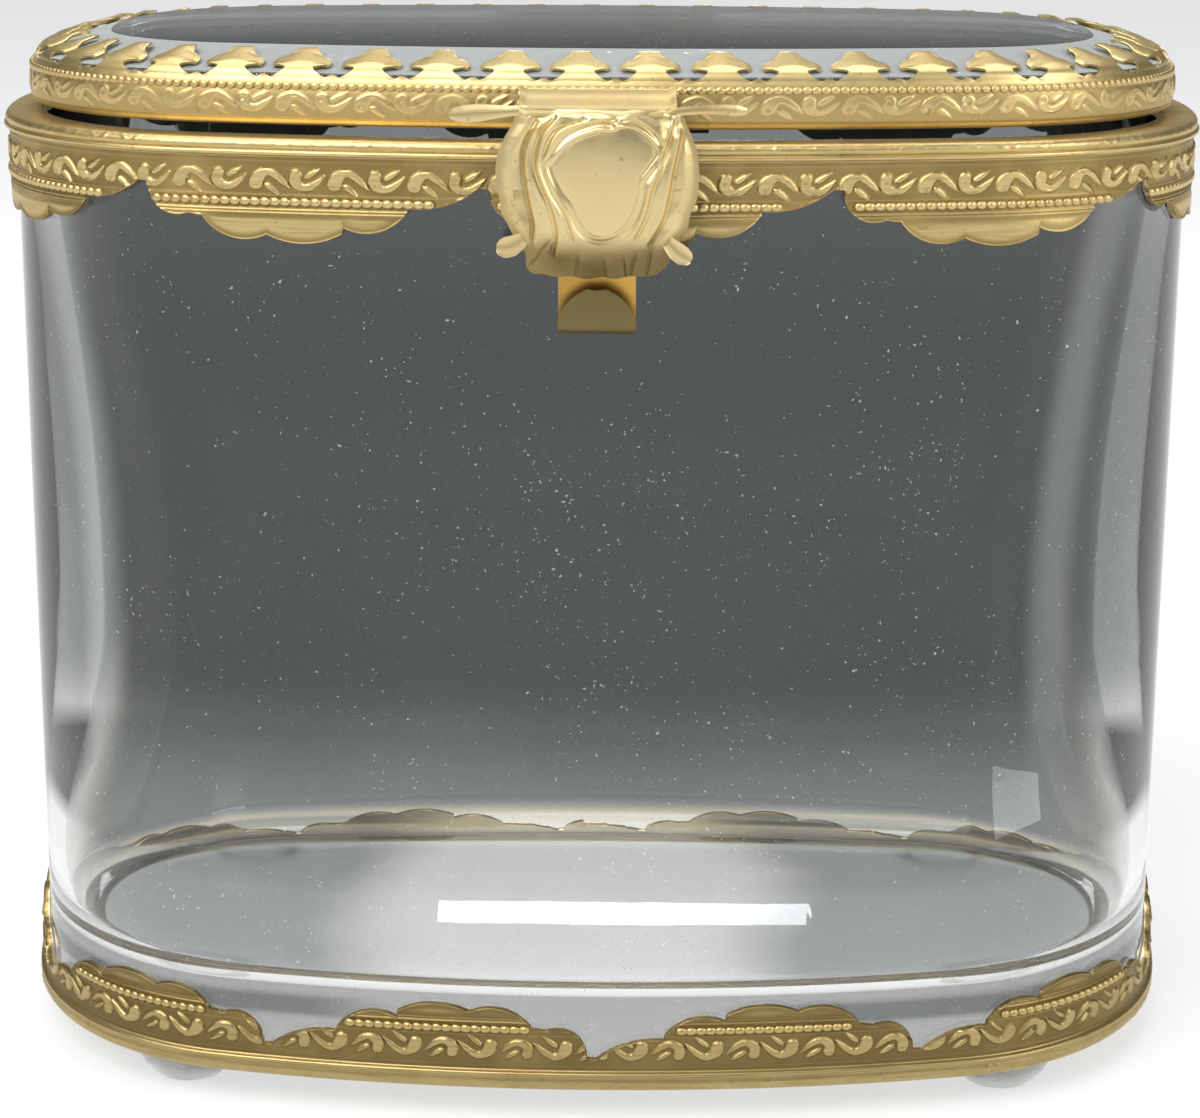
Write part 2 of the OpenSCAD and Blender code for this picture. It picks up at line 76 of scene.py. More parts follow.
class Body(Enum):
    """Rigid bodies of the casket."""

    CASE = "case"
    LID = "lid"
    CLASP = "clasp"


class Slot(Enum):
    """Material slots of the casket."""

    GLASS = "clear_glass"
    GILT = "gilt_brass"


# ---------------------------------------------------------------- shader maths


class Val:
    """A shader socket that can be used in Python expressions."""

    def __init__(self, graph: "Graph", socket: bpy.types.NodeSocket) -> None:
        """Wrap an output socket of the given graph."""
        self.graph = graph
        self.socket = socket

    def _math(self, kind: str, first: object, second: object) -> "Val":
        """Add a Math node and return its output."""
        return self.graph.node("ShaderNodeMath", {"operation": kind}, {0: first, 1: second})

    def __add__(self, other: object) -> "Val":
        """Sum."""
        return self._math("ADD", self, other)

    __radd__ = __add__

    def __sub__(self, other: object) -> "Val":
        """Difference."""
        return self._math("SUBTRACT", self, other)

    def __rsub__(self, other: object) -> "Val":
        """Reflected difference."""
        return self._math("SUBTRACT", other, self)

    def __mul__(self, other: object) -> "Val":
        """Product."""
        return self._math("MULTIPLY", self, other)

    __rmul__ = __mul__

    def __abs__(self) -> "Val":
        """The value without its sign."""
        return self._math("ABSOLUTE", self, 0.0)

    def larger(self, other: "Val") -> "Val":
        """The larger of two values."""
        return self._math("MAXIMUM", self, other)

    def clamp(self) -> "Val":
        """The value kept between 0 and 1."""
        return self.graph.node("ShaderNodeClamp", {}, {0: self})

    def smooth(self, low: float, high: float) -> "Val":
        """A smooth step from 0 at low to 1 at high."""
        return self.graph.node(
            "ShaderNodeMapRange", {"interpolation_type": "SMOOTHSTEP"},
            {0: self, 1: low, 2: high})

    def within(self, low: float, high: float, soft: float) -> "Val":
        """1 from low to high, with an edge of the given softness past each."""
        return self.smooth(low, low + soft) * (1.0 - self.smooth(high, high + soft))

    def beside(self, name: str) -> "Val":
        """Another output of the same node."""
        return Val(self.graph, self.socket.node.outputs[name])


class Graph:
    """A shader's node tree, filled by expressions."""

    def __init__(self, tree: bpy.types.NodeTree) -> None:
        """Start from an empty tree."""
        self.tree = tree
        tree.nodes.clear()

    def node(self, kind: str, settings: dict, values: dict, out: object = 0) -> Val:
        """Add a node.

        Args:
            kind: Type of the node.
            settings: Its settings; "stops" gives a colour ramp's stops.
            values: Value or link for each of its sockets.
            out: Name or number of the output to return.

        Returns:
            The chosen output.
        """
        made = self.tree.nodes.new(kind)
        for key, value in settings.items():
            if key == "stops":
                ramp = made.color_ramp.elements
                while len(ramp) < len(value):
                    ramp.new(1.0)
                for element, (place, colour) in zip(ramp, value):
                    element.position = place
                    element.color = (*colour, 1.0)
            else:
                setattr(made, key, value)
        for key, value in values.items():
            self.plug(made.inputs[key], value)
        return Val(self, made.outputs[out])

    def plug(self, socket: bpy.types.NodeSocket, value: object) -> None:
        """Link a wrapped socket, or write a constant."""
        if isinstance(value, Val):
            self.tree.links.new(value.socket, socket)
        elif isinstance(value, (tuple, list)) and len(value) == 3 and socket.type == "RGBA":
            socket.default_value = (*value, 1.0)
        else:
            socket.default_value = value

    def place(self, scale: Sequence[float] = (1.0, 1.0, 1.0), source: str = "Object") -> Val:
        """Coordinates of the surface, stretched by a scale.

        Args:
            scale: Stretch along each axis.
            source: "Object" or "UV".

        Returns:
            The coordinates.
        """
        spot = self.node("ShaderNodeTexCoord", {}, {}, source)
        return self.node("ShaderNodeMapping", {}, {"Vector": spot, "Scale": tuple(scale)})

    def noise(self, where: Val, scale: float, detail: float = 3.0) -> Val:
        """Fractal noise between 0 and 1."""
        values = {"Vector": where, "Scale": scale, "Detail": detail, "Roughness": 0.55}
        return self.node("ShaderNodeTexNoise", {}, values)

    def attribute(self, name: str) -> Val:
        """A number painted on the mesh."""
        return self.node("ShaderNodeAttribute", {"attribute_name": name}, {}, "Fac")

    def mix(self, factor: object, first: object, second: object) -> Val:
        """A blend of two colours.

        Args:
            factor: Share of the second.
            first: First colour.
            second: Second colour.

        Returns:
            The blended colour.
        """
        # The colours' own sockets stand behind those for numbers and vectors.
        values = {0: factor, 6: first, 7: second}
        return self.node("ShaderNodeMix", {"data_type": "RGBA"}, values, 2)

    def blend(self, factor: object, first: Val, second: Val) -> Val:
        """A blend of two shaders."""
        return self.node("ShaderNodeMixShader", {}, {0: factor, 1: first, 2: second})

    def bump(self, height: Val, strength: float, distance: float) -> Val:
        """A normal from a height, the distance in millimetres."""
        values = {"Height": height, "Strength": strength, "Distance": distance * MM}
        return self.node("ShaderNodeBump", {}, values, "Normal")

    def seen(self, camera: float, others: float) -> Val:
        """So much for camera rays, so much for glossy and transmission rays, else 0.

        Args:
            camera: Value for camera rays.
            others: Value for glossy and transmission rays.

        Returns:
            The value for the ray that sees the surface.
        """
        ray = self.node("ShaderNodeLightPath", {}, {}, "Is Camera Ray")
        glossy, passed = ray.beside("Is Glossy Ray"), ray.beside("Is Transmission Ray")
        return (ray * camera).larger(glossy * others).larger(passed * others)


class Shade(Graph):
    """Builder of one procedural material."""

    def __init__(self, name: str) -> None:
        """Start a material with an output and a Principled shader.

        Args:
            name: Name of the material.
        """
        self.material = bpy.data.materials.new(name)
        self.material.use_nodes = True
        super().__init__(self.material.node_tree)
        self.output = self.tree.nodes.new("ShaderNodeOutputMaterial")
        self.body = self.node("ShaderNodeBsdfPrincipled", {}, {})
        self.show(self.body)

    def show(self, shader: Val) -> None:
        """Make a shader the material's surface."""
        self.plug(self.output.inputs[0], shader)

    def set(self, **sockets: object) -> None:
        """Set sockets of the Principled shader; underscores stand for spaces."""
        for key, value in sockets.items():
            self.plug(self.body.socket.node.inputs[key.replace("_", " ")], value)


# ------------------------------------------------------------------- finishes


@dataclass(frozen=True)
class GiltFinish:
    """Satin gilding on brass, smoother on top, with painted shade in the hollows
    and painted light on raised parts.

    Where the mesh is painted, its relief chooses between low, the painted shade,
    and high, the painted light, and anything painted past 1 is an inner face
    given the lighter inside colour as painted light.
    """

    name: str
    # high is the painted light on raised parts, low the painted shade in the hollows.
    high: tuple = (0.72, 0.56, 0.26)
    low: tuple = (0.31, 0.225, 0.082)
    patch: tuple = (0.56, 0.41, 0.17)
    speck: tuple = (0.26, 0.18, 0.07)
    # inside is the lighter colour of inner faces, painted light.
    inside: tuple = (1.0, 0.87, 0.62)
    rough: float = 0.38
    rough_low: float = 0.52
    rough_grain: float = 0.16
    grain: float = 0.030
    strokes: float = 0.0
    painted: bool = False

    def make(self) -> bpy.types.Material:
        """Build the material.

        Returns:
            The gilt material.
        """
        shade = Shade(self.name)
        spot = shade.place()
        cloud = shade.noise(spot, 95.0, 4.0)
        fine = shade.noise(spot, 2600.0, 2.0)
        mid = shade.noise(spot, 700.0)
        paint = shade.attribute("relief") if self.painted else mid * 0.5 + 0.35
        relief = paint.clamp()
        along = shade.noise(shade.place((1.1, 34.0, 1.0), "UV"), 1.0)
        # Painted shade in the hollows, painted light on raised parts.
        colour = shade.mix(relief.smooth(0.02, 0.75), self.low, self.high)
        if self.strokes > 0.0:
            colour = shade.mix(along.smooth(0.48, 0.66) * 0.40, colour, self.low)
        colour = shade.mix(cloud.smooth(0.42, 0.68) * 0.55, colour, self.patch)
        specks = (shade.noise(spot, 1500.0, 1.0) + cloud * 0.25).smooth(0.80, 0.88)
        colour = shade.mix(specks * 0.35, colour, self.speck)
        if self.painted:
            # Painted light: inner faces take the lighter inside colour.
            colour = shade.mix(paint.smooth(1.2, 1.4), colour, self.inside)
        wear = self.rough_low - relief * (self.rough_low - self.rough)
        shade.set(
            Base_Color=colour, Metallic=1.0, Roughness=wear + (mid - 0.5) * self.rough_grain)
        height = fine * 0.45 + mid * 0.55
        if self.strokes > 0.0:
            height = height * (1.0 - self.strokes) + along * self.strokes
        shade.set(Normal=shade.bump(height, 0.55, self.grain))
        return shade.material


@dataclass(frozen=True)
class PaintedShade:
    """Painted shade in the walls of the clear glass: a dark tint that stands for
    the dark room seen through it, placed in metres.

    Each pair of heights holds where the tint starts to change and where it
    has changed. A streak on each side of the front stays clearer, as a painted
    refraction highlight, and so does the middle of the glass floor. In the
    back half, from about 13 mm up, the clear colour turns warm as painted light.
    """

    # Dark tint painted as shade; the glass itself is clear.
    colour: tuple = (0.205, 0.218, 0.224)
    painted_glow: tuple = (0.90, 0.82, 0.62)
    painted_glow_from: tuple = (0.0122, 0.0132)
    front: tuple = (0.031, 0.049)
    front_top: tuple = (0.085, 0.110)
    top_loss: float = 0.16
    back: tuple = (0.0128, 0.0156)
    halves: tuple = (-0.012, 0.012)
    middle: float = -0.0025
    streak_x: float = 0.0505
    streak_z: float = 0.055
    streak_bow: float = 2.8
    streak_w: tuple = (0.0006, 0.0034)
    streak_loss: float = 0.62
    side: tuple = (0.061, 0.067)
    side_loss: float = 0.10
    floor_low: tuple = (0.010, 0.011)
    floor_high: tuple = (0.0124, 0.0136)
    pool: tuple = (0.015, 0.030)

    def tint(self, shade: Shade, spot: Val, clear: tuple) -> Val:
        """Colour of the glass, with its painted shade and painted light.

        Args:
            shade: The material that is being built.
            spot: Coordinates, with an output for each axis beside the first.
            clear: Colour where there is no painted shade.

        Returns:
            The colour at each place.
        """
        across, depth, height = (spot.beside(axis) for axis in "XYZ")
        cloud = shade.noise(shade.place(), 22.0, 2.0) - 0.5
        back = depth.smooth(*self.halves)
        rise = height + cloud * 0.006
        top = rise.smooth(*self.front_top)
        front_wall = rise.smooth(*self.front) * (1.0 - top * self.top_loss)
        thick = front_wall * (1.0 - back) + height.smooth(*self.back) * back
        side = abs(across - self.middle)
        # Painted refraction highlight: a clearer streak on each side of the front.
        level = height - self.streak_z
        streak = abs(side - level * level * self.streak_bow - self.streak_x)
        streak = (1.0 - streak.smooth(*self.streak_w)) * (1.0 - depth.smooth(-0.02, 0.0))
        edge = (side + cloud * 0.01).smooth(*self.side)
        thick = thick * (1.0 - streak * self.streak_loss) * (1.0 - edge * self.side_loss)
        # The glass floor's rim gets more painted shade than its middle.
        floor = (1.0 - height.smooth(*self.floor_high)) * height.smooth(*self.floor_low)
        thick = thick + floor * (side + cloud * 0.02).smooth(*self.pool)
        # Painted light: the back half turns warm from about 13 mm up.
        painted_glow = shade.mix(back * height.smooth(*self.painted_glow_from), clear, self.painted_glow)
        return shade.mix(thick.clamp(), painted_glow, self.colour)


@dataclass(frozen=True)
class GlassFinish:
    """Clear glass or rubber, with painted shade, wavy, dusty or ground matt where asked.

    The ground zone lies between two heights in metres.
    """

    name: str
    clear: tuple
    painted_shade: Optional[PaintedShade] = None
    rough: float = 0.0
    haze: float = 0.03
    ior: float = 1.50
    wave: float = 0.0
    dust: float = 0.0
    lint: tuple = (0.84, 0.87, 0.85)
    ground: Optional[tuple] = None
    ground_rough: float = 0.35
    ground_edge: float = 2e-5
    frost: float = 0.0

    def make(self) -> bpy.types.Material:
        """Build the material.

        Returns:
            The clear material.
        """
        shade = Shade(self.name)
        spot = shade.place()
        axes = shade.node("ShaderNodeSeparateXYZ", {}, {0: spot})
        height = axes.beside("Z")
        rough = shade.noise(spot, 40.0).smooth(0.55, 0.95) * self.haze + self.rough
        frosted: object = 0.0
        if self.ground:
            frosted = height.within(*self.ground, self.ground_edge)
            rough = rough + frosted * self.ground_rough
        # The painted shade tints the clear glass where it is given.
        tint = self.painted_shade.tint(shade, axes, self.clear) if self.painted_shade else self.clear
        shade.set(Base_Color=tint, IOR=self.ior, Transmission_Weight=1.0, Roughness=rough)
        if self.wave > 0.0:
            ripple = shade.noise(shade.place((150.0, 22.0, 22.0)), 1.0, 2.5)
            inner_floor = 1.0 - height.smooth(*PaintedShade.floor_high)
            slow = shade.noise(spot, 26.0, 1.5) + ripple * inner_floor * 0.8
            shade.set(Normal=shade.bump(slow, 0.35, self.wave))
        if self.dust > 0.0 or self.frost > 0.0:
            grit = shade.noise(spot, 2300.0, 1.0) + shade.noise(spot, 60.0, 2.0) * 0.16
            veil = (grit.smooth(0.80, 0.86) * self.dust + frosted * self.frost).clamp()
            lint = shade.node("ShaderNodeBsdfDiffuse", {}, {0: self.lint})
            shade.show(shade.blend(veil, shade.body, lint))
        return shade.material


# --------------------------------------------------------------------- meshes


def rows_of(*columns: object) -> np.ndarray:
    """Columns of numbers set side by side, one row for each vertex."""
    return np.stack(np.broadcast_arrays(*columns), axis=1)


def smoothstep(value: np.ndarray) -> np.ndarray:
    """A smooth step of a value from 0 to 1."""
    t = np.clip(value, 0.0, 1.0)
    return t * t * (3 - 2 * t)


def bump_at(distance: np.ndarray, width: float) -> np.ndarray:
    """A rounded rise: 1 in the middle, near 0 past its width."""
    return np.exp(-((distance / width) ** 2))


def strokes(points: Sequence[tuple], count: int = 12) -> np.ndarray:
    """Discs along a smooth stroke.

    Args:
        points: Places along, drops and radii of the stroke's main discs.
        count: Discs on each stretch.

    Returns:
        Rows of place along, drop and radius.
    """
    given = np.array(points, float)
    ends = np.vstack([2 * given[0] - given[1], given, 2 * given[-1] - given[-2]])
    rows = []
    for a, b, c, d in zip(ends, ends[1:], ends[2:], ends[3:]):
        for t in np.linspace(0, 1, count, endpoint=False):
            rows.append(
                0.5 * (2 * b + (c - a) * t + (2 * a - 5 * b + 4 * c - d) * t**2
                       + (3 * b - a - 3 * c + d) * t**3)
            )
    rows.append(given[-1])
    return np.array(rows)


def curve(points: Sequence[tuple], count: int) -> np.ndarray:
    """Points along a smooth line through the given ones."""
    return strokes([(*point, 0) for point in points], count)[:, :2]


@dataclass(frozen=True)
class OvalPlan:
    """Plan of the box: four bowed arcs joined smoothly by four corner arcs."""

    half_w: float = 66.0
    half_d: float = 42.0
    corner_r: float = 30.5
    end_deg: float = 12.7
    bow_deg: float = 11.5

    def arcs(self) -> tuple:
        """Work out the arcs that make up a quarter of the oval.

        Returns:
            Corner's centre, end arc's centre and radius, bow's centre and radius.
        """
        end, bow = math.radians(self.end_deg), math.radians(self.bow_deg)
        end_tan, bow_tan = math.tan(end / 2), math.tan(bow / 2)
        room_x, room_y = self.half_w - self.corner_r, self.half_d - self.corner_r
        corner_x = (room_x - end_tan * room_y) / (1 - end_tan * bow_tan)
        corner_y = room_y - bow_tan * corner_x
        end_reach, bow_reach = corner_y / math.sin(end), corner_x / math.sin(bow)
        end_x = corner_x - end_reach * math.cos(end)
        bow_y = corner_y - bow_reach * math.cos(bow)
        return (
            (corner_x, corner_y),
            (end_x, self.corner_r + end_reach),
            (bow_y, self.corner_r + bow_reach),
        )

    def stretches(self, off: float) -> tuple:
        """Arcs from the front's middle to the back's, along an outline offset by off.

        Args:
            off: Distance out from the glass.

        Returns:
            Each arc's length, the angle where it starts, its centre's x and y
            and its radius on the glass, each as an array.
        """
        (cx, cy), (ex, end_r), (by, bow_r) = self.arcs()
        end, bow = math.radians(self.end_deg), math.radians(self.bow_deg)
        quarter = math.pi / 2
        sweep = quarter - bow - end
        radius = np.array([bow_r, self.corner_r, end_r, self.corner_r, bow_r])
        lengths = (radius + off) * [bow, sweep, 2 * end, sweep, bow]
        angles = np.array([-quarter, -quarter + bow, -end, end, quarter - bow])
        mid_x, mid_y = np.array([0, cx, ex, cx, 0]), np.array([-by, -cy, 0, cy, by])
        return lengths, angles, mid_x, mid_y, radius

    def half_length(self, off: float) -> float:
        """Half the way round the outline offset by off."""
        bow, corner, end = self.stretches(off)[0][:3]
        return 2 * bow + 2 * corner + end

    def spaced(self, count: int, off: float) -> np.ndarray:
        """Even places all round the outline offset by off."""
        half = self.half_length(off)
        return (np.arange(count) + 0.5) / count * 2 * half - half

    def points(self, s: np.ndarray, off: object, z: object, ref: float) -> np.ndarray:
        """Points on the walls.

        Args:
            s: Way along the outline from the front's middle, + to the right.
            off: Distance out from the glass.
            z: Height.
            ref: Offset at which s is measured.

        Returns:
            An array of x, y, z rows.
        """
        lengths, angles, mid_x, mid_y, radius = self.stretches(ref)
        starts = np.concatenate([[0.0], np.cumsum(lengths[:-1])])
        t = np.abs(s)
        arc = np.searchsorted(starts[1:], t)
        angle = angles[arc] + (t - starts[arc]) / (radius[arc] + ref)
        x = mid_x[arc] + (radius[arc] + off) * np.cos(angle)
        y = mid_y[arc] + (radius[arc] + off) * np.sin(angle)
        return rows_of(np.where(s < 0, -x, x), y, z)


class Sheet:
    """A flat grid that is bent into shape."""

    def __init__(self, columns: int, rows: int) -> None:
        """Start from a grid, with each vertex's share across and row up.

        Args:
            columns: Faces across.
            rows: Faces up.
        """
        bm = bmesh.new()
        bmesh.ops.create_grid(bm, x_segments=columns, y_segments=rows, size=1.0)
        self.mesh = bpy.data.meshes.new("sheet")
        bm.to_mesh(self.mesh)
        bm.free()
        flat = np.empty(3 * len(self.mesh.vertices))
        self.mesh.vertices.foreach_get("co", flat)
        self.share = (flat[0::3] + 1) / 2
        self.across = self.share * 2 - 1
        self.row = np.rint((flat[1::3] + 1) / 2 * rows).astype(int)
        self.run = self.row / rows

    def bend(
        self,
        points: np.ndarray,
        relief: Optional[np.ndarray] = None,
        uv: Optional[np.ndarray] = None,
        backing: float = 0.0,
    ) -> bmesh.types.BMesh:
        """Move the grid's vertices and give up the mesh.

        Args:
            points: Place of each vertex in millimetres.
            relief: Number from 0 to 1 painted on each vertex.
            uv: Two UV numbers for each vertex.
            backing: Thickness in millimetres put behind the sheet.

        Returns:
            The bent mesh in metres.
        """
        self.mesh.vertices.foreach_set("co", (points * MM).ravel())
        if relief is not None:
            paint = self.mesh.attributes.new("relief", "FLOAT", "POINT")
            paint.data.foreach_set("value", relief.astype(np.float32))
        if uv is not None:
            corner = np.empty(len(self.mesh.loops), int)
            self.mesh.loops.foreach_get("vertex_index", corner)
            self.mesh.uv_layers.new(name="strip").data.foreach_set("uv", uv[corner].ravel())
        bm = bmesh.new()
        bm.from_mesh(self.mesh)
        bpy.data.meshes.remove(self.mesh)
        if backing:
            bmesh.ops.recalc_face_normals(bm, faces=bm.faces)
            bmesh.ops.solidify(bm, geom=bm.faces[:], thickness=backing * MM)
        return bm


def lined(bm: bmesh.types.BMesh, thick: float, above: float = -1000.0) -> bmesh.types.BMesh:
    """Turn a sheet face up and put its thickness under it.

    Args:
        bm: The sheet.
        thick: Its thickness in millimetres.
        above: Height in millimetres over which its faces have to look up.

    Returns:
        The same mesh, closed.
    """
    shown = (f for f in bm.faces if f.calc_center_median().z > above * MM)
    if sum(f.normal.z for f in shown) < 0:
        bmesh.ops.reverse_faces(bm, faces=bm.faces)
    bmesh.ops.solidify(bm, geom=bm.faces[:], thickness=thick * MM)
    return bm


def backed(bm: bmesh.types.BMesh, thick: float) -> bmesh.types.BMesh:
    """Close a sheet with a copy of itself set further back.

    Args:
        bm: The sheet.
        thick: How far back, in millimetres.

    Returns:
        The same mesh, closed.
    """
    made = bmesh.ops.extrude_face_region(bm, geom=bm.faces[:])["geom"]
    moved = [v for v in made if isinstance(v, bmesh.types.BMVert)]
    bmesh.ops.translate(bm, verts=moved, vec=(0.0, thick * MM, 0.0))
    return bm


def joined(parts: Sequence[bmesh.types.BMesh]) -> bmesh.types.BMesh:
    """Put several meshes together.

    Args:
        parts: The meshes, which are freed.

    Returns:
        One mesh of all of them.
    """
    whole = bmesh.new()
    spare = bpy.data.meshes.new("part")
    for part in parts:
        part.to_mesh(spare)
        part.free()
        whole.from_mesh(spare)
    bpy.data.meshes.remove(spare)
    return whole


def fill_holes(bm: bmesh.types.BMesh) -> None:
    """Close every open edge loop."""
    bmesh.ops.holes_fill(bm, edges=[e for e in bm.edges if e.is_boundary], sides=0)


def turned_round(plan: OvalPlan, profile: Sequence[tuple], columns: int) -> bmesh.types.BMesh:
    """Carry a profile round the oval and close its middle.

    Args:
        plan: The oval.
        profile: Offsets and heights, from one middle to the other.
        columns: Faces round the oval.

    Returns:
        The closed mesh.
    """
    rows = np.array(profile)
    sheet = Sheet(columns, len(rows) - 1)
    s = sheet.across * plan.half_length(0.0)
    bm = sheet.bend(plan.points(s, rows[sheet.row, 0], rows[sheet.row, 1], 0.0))
    bmesh.ops.remove_doubles(bm, verts=bm.verts, dist=0.004 * MM)
    fill_holes(bm)
    return bm


def bead_row(mids: np.ndarray, radius: float, flat: float) -> bmesh.types.BMesh:
    """Low beads in a row, each drawn out along the row so that they nearly touch.

    Args:
        mids: Centres in millimetres.
        radius: Radius of a bead.
        flat: Its thickness as a share of its width.

    Returns:
        A mesh of all the beads.
    """
    along, tall = 1.65, 1.08
    bm = bmesh.new()
    for x, y, z in mids:
        turn = math.atan2(y * 2.2, x)
        where = (
            Matrix.Translation(Vector((x, y, z)) * MM)
            @ Matrix.Rotation(turn, 4, "Z")
            @ Matrix.Diagonal((flat, along, tall, 1.0))
        )
        bmesh.ops.create_uvsphere(
            bm, u_segments=8, v_segments=6, radius=radius * MM, matrix=where)
    return bm


class Workshop:
    """Finishes pieces and hands them over."""

    def __init__(self) -> None:
        """Start with an empty shelf of materials."""
        self.materials: dict = {}

    def material(self, finish: object) -> bpy.types.Material:
        """The material of a finish, made once."""
        if finish.name not in self.materials:
            self.materials[finish.name] = finish.make()
        return self.materials[finish.name]

    def finish(
        self,
        bm: bmesh.types.BMesh,
        name: str,
        finish: object,
        body: Body,
        slot: Slot,
        replaces: Sequence[str] = (),
        crease: float = 50.0,
        merge: float = 0.0,
    ) -> None:
        """Close a mesh and hand it over.

        Args:
            bm: The mesh, in metres.
            name: Name of the piece.
            finish: Its finish.
            body: The body it rides on.
            slot: Its material slot; not used.
            replaces: CAD nodes it stands for.
            crease: Angle in degrees past which an edge is sharp.
            merge: Distance in millimetres under which vertices are merged.
        """
        if merge > 0:
            bmesh.ops.remove_doubles(bm, verts=bm.verts, dist=merge * MM)
            bmesh.ops.dissolve_degenerate(bm, edges=bm.edges, dist=0.0002 * MM)
            fill_holes(bm)
        bmesh.ops.recalc_face_normals(bm, faces=bm.faces)
        for face in bm.faces:
            face.smooth = True
        mesh = bpy.data.meshes.new(name)
        bm.to_mesh(mesh)
        bm.free()
        mesh.set_sharp_from_angle(angle=math.radians(crease))
        mesh.materials.append(self.material(finish))
        made = bpy.data.objects.new(name, mesh)
        bpy.context.scene.collection.objects.link(made)
        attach(made, body.value)
        if replaces:
            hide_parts(*replaces)
        LOG.info("%s: %d faces on %s", name, len(mesh.polygons), body.value)

    def gilt(
        self, bm: bmesh.types.BMesh, name: str, finish: object, body: Body, **more: object
    ) -> None:
        """Hand over a piece of gilt brass."""
        self.finish(bm, name, finish, body, Slot.GILT, **more)

    def halves(
        self,
        make: Callable[[float, float], bmesh.types.BMesh],
        half: float,
        name: str,
        finish: object,
        body: Body,
        node: str,
    ) -> None:
        """Hand over a strip that runs all round as its front half and its back half.

        Args:
            make: Models the strip from one place along the wall to another.
            half: Way from the front's middle to the back's.
            name: Name of the strip.
            finish: Its finish.
            body: The body it rides on.
            node: CAD node it stands for.
        """
        ends = joined([make(half / 2, half), make(-half, -half / 2)])
        for bm, end in ((make(-half / 2, half / 2), "_front"), (ends, "_back")):
            self.gilt(bm, name + end, finish, body, replaces=(node,), merge=0.002)

    def dress(self, frame: dict, node: str, finish: object) -> None:
        """Give a CAD node its finish.

        Args:
            frame: The loaded frame.
            node: Name of the node.
            finish: Its finish.
        """
        mesh = frame["nodes"][node].data
        mesh.materials.clear()
        mesh.materials.append(self.material(finish))
        LOG.info("%s: dressed", node)


# --------------------------------------------------------------------- strips


@dataclass(frozen=True)
class LeafScroll:
    """Running row of comma leaves stamped in the strip.

    Each leaf is a line of discs: place along the repeat, drop below the ridge
    and radius.
    """

    pitch: float = 8.178
    first: float = -1.3
    mid_drop: float = 3.0
    height: float = 0.26
    edge: float = 0.17
    rim: float = 0.07
    eyes: float = 0.04
    squash: float = 1.0
    slim: float = 0.80
    leaves: tuple = (
        ((-0.1, 3.05, 0.95), (0.1, 2.6, 0.88), (0.65, 2.12, 0.62), (1.35, 2.0, 0.50),
         (2.1, 2.38, 0.46), (2.8, 2.98, 0.36), (3.45, 3.58, 0.10)),
        ((0.85, 3.2, 0.15), (1.2, 3.4, 0.36), (1.8, 3.85, 0.34), (2.35, 4.3, 0.10)),
        ((4.1, 2.25, 0.80), (4.0, 2.75, 0.80), (4.25, 3.2, 0.66), (4.85, 3.5, 0.54),
         (5.6, 3.40, 0.48), (6.35, 2.92, 0.38), (7.1, 2.25, 0.12)),
        ((5.0, 2.5, 0.15), (5.35, 2.35, 0.36), (6.0, 1.95, 0.34), (6.6, 1.6, 0.10)),
    )
    eye_places: tuple = ((-0.1, 3.05), (3.95, 2.4))
    eye_r: float = 0.34

    def raise_at(self, u: np.ndarray, d: np.ndarray) -> np.ndarray:
        """Height of the relief.

        Args:
            u: Places along the row.
            d: Drops below the ridge.

        Returns:
            The height at each place.
        """
        d = self.mid_drop + (d - self.mid_drop) / self.squash
        u = np.mod(u - self.first, self.pitch) + self.first
        last = self.pitch + self.first
        top = np.zeros(u.shape)
        for leaf in self.leaves:
            depth = np.full(u.shape, -9.0)
            for cu, cd, r in strokes(leaf) * (1.0, 1.0, self.slim):
                for shift in (0.0, -self.pitch, self.pitch):
                    if cu + shift + r > self.first and cu + shift - r < last:
                        depth = np.maximum(depth, r - np.hypot(u - cu - shift, d - cd))
            rounded = 1 - (1 - np.clip(depth / self.edge, 0, 1)) ** 2
            wall = np.sqrt(np.clip(rounded, 0, 1))
            swell = 0.8 + 0.2 * smoothstep(depth / 0.6)
            lip = self.rim * bump_at(depth - 0.17, 0.11) * (depth > 0)
            top = np.maximum(top, self.height * wall * swell + lip)
        for cu, cd in self.eye_places:
            top -= self.eyes * smoothstep(1.2 - np.hypot(u - cu, d - cd) / self.eye_r)
        return top


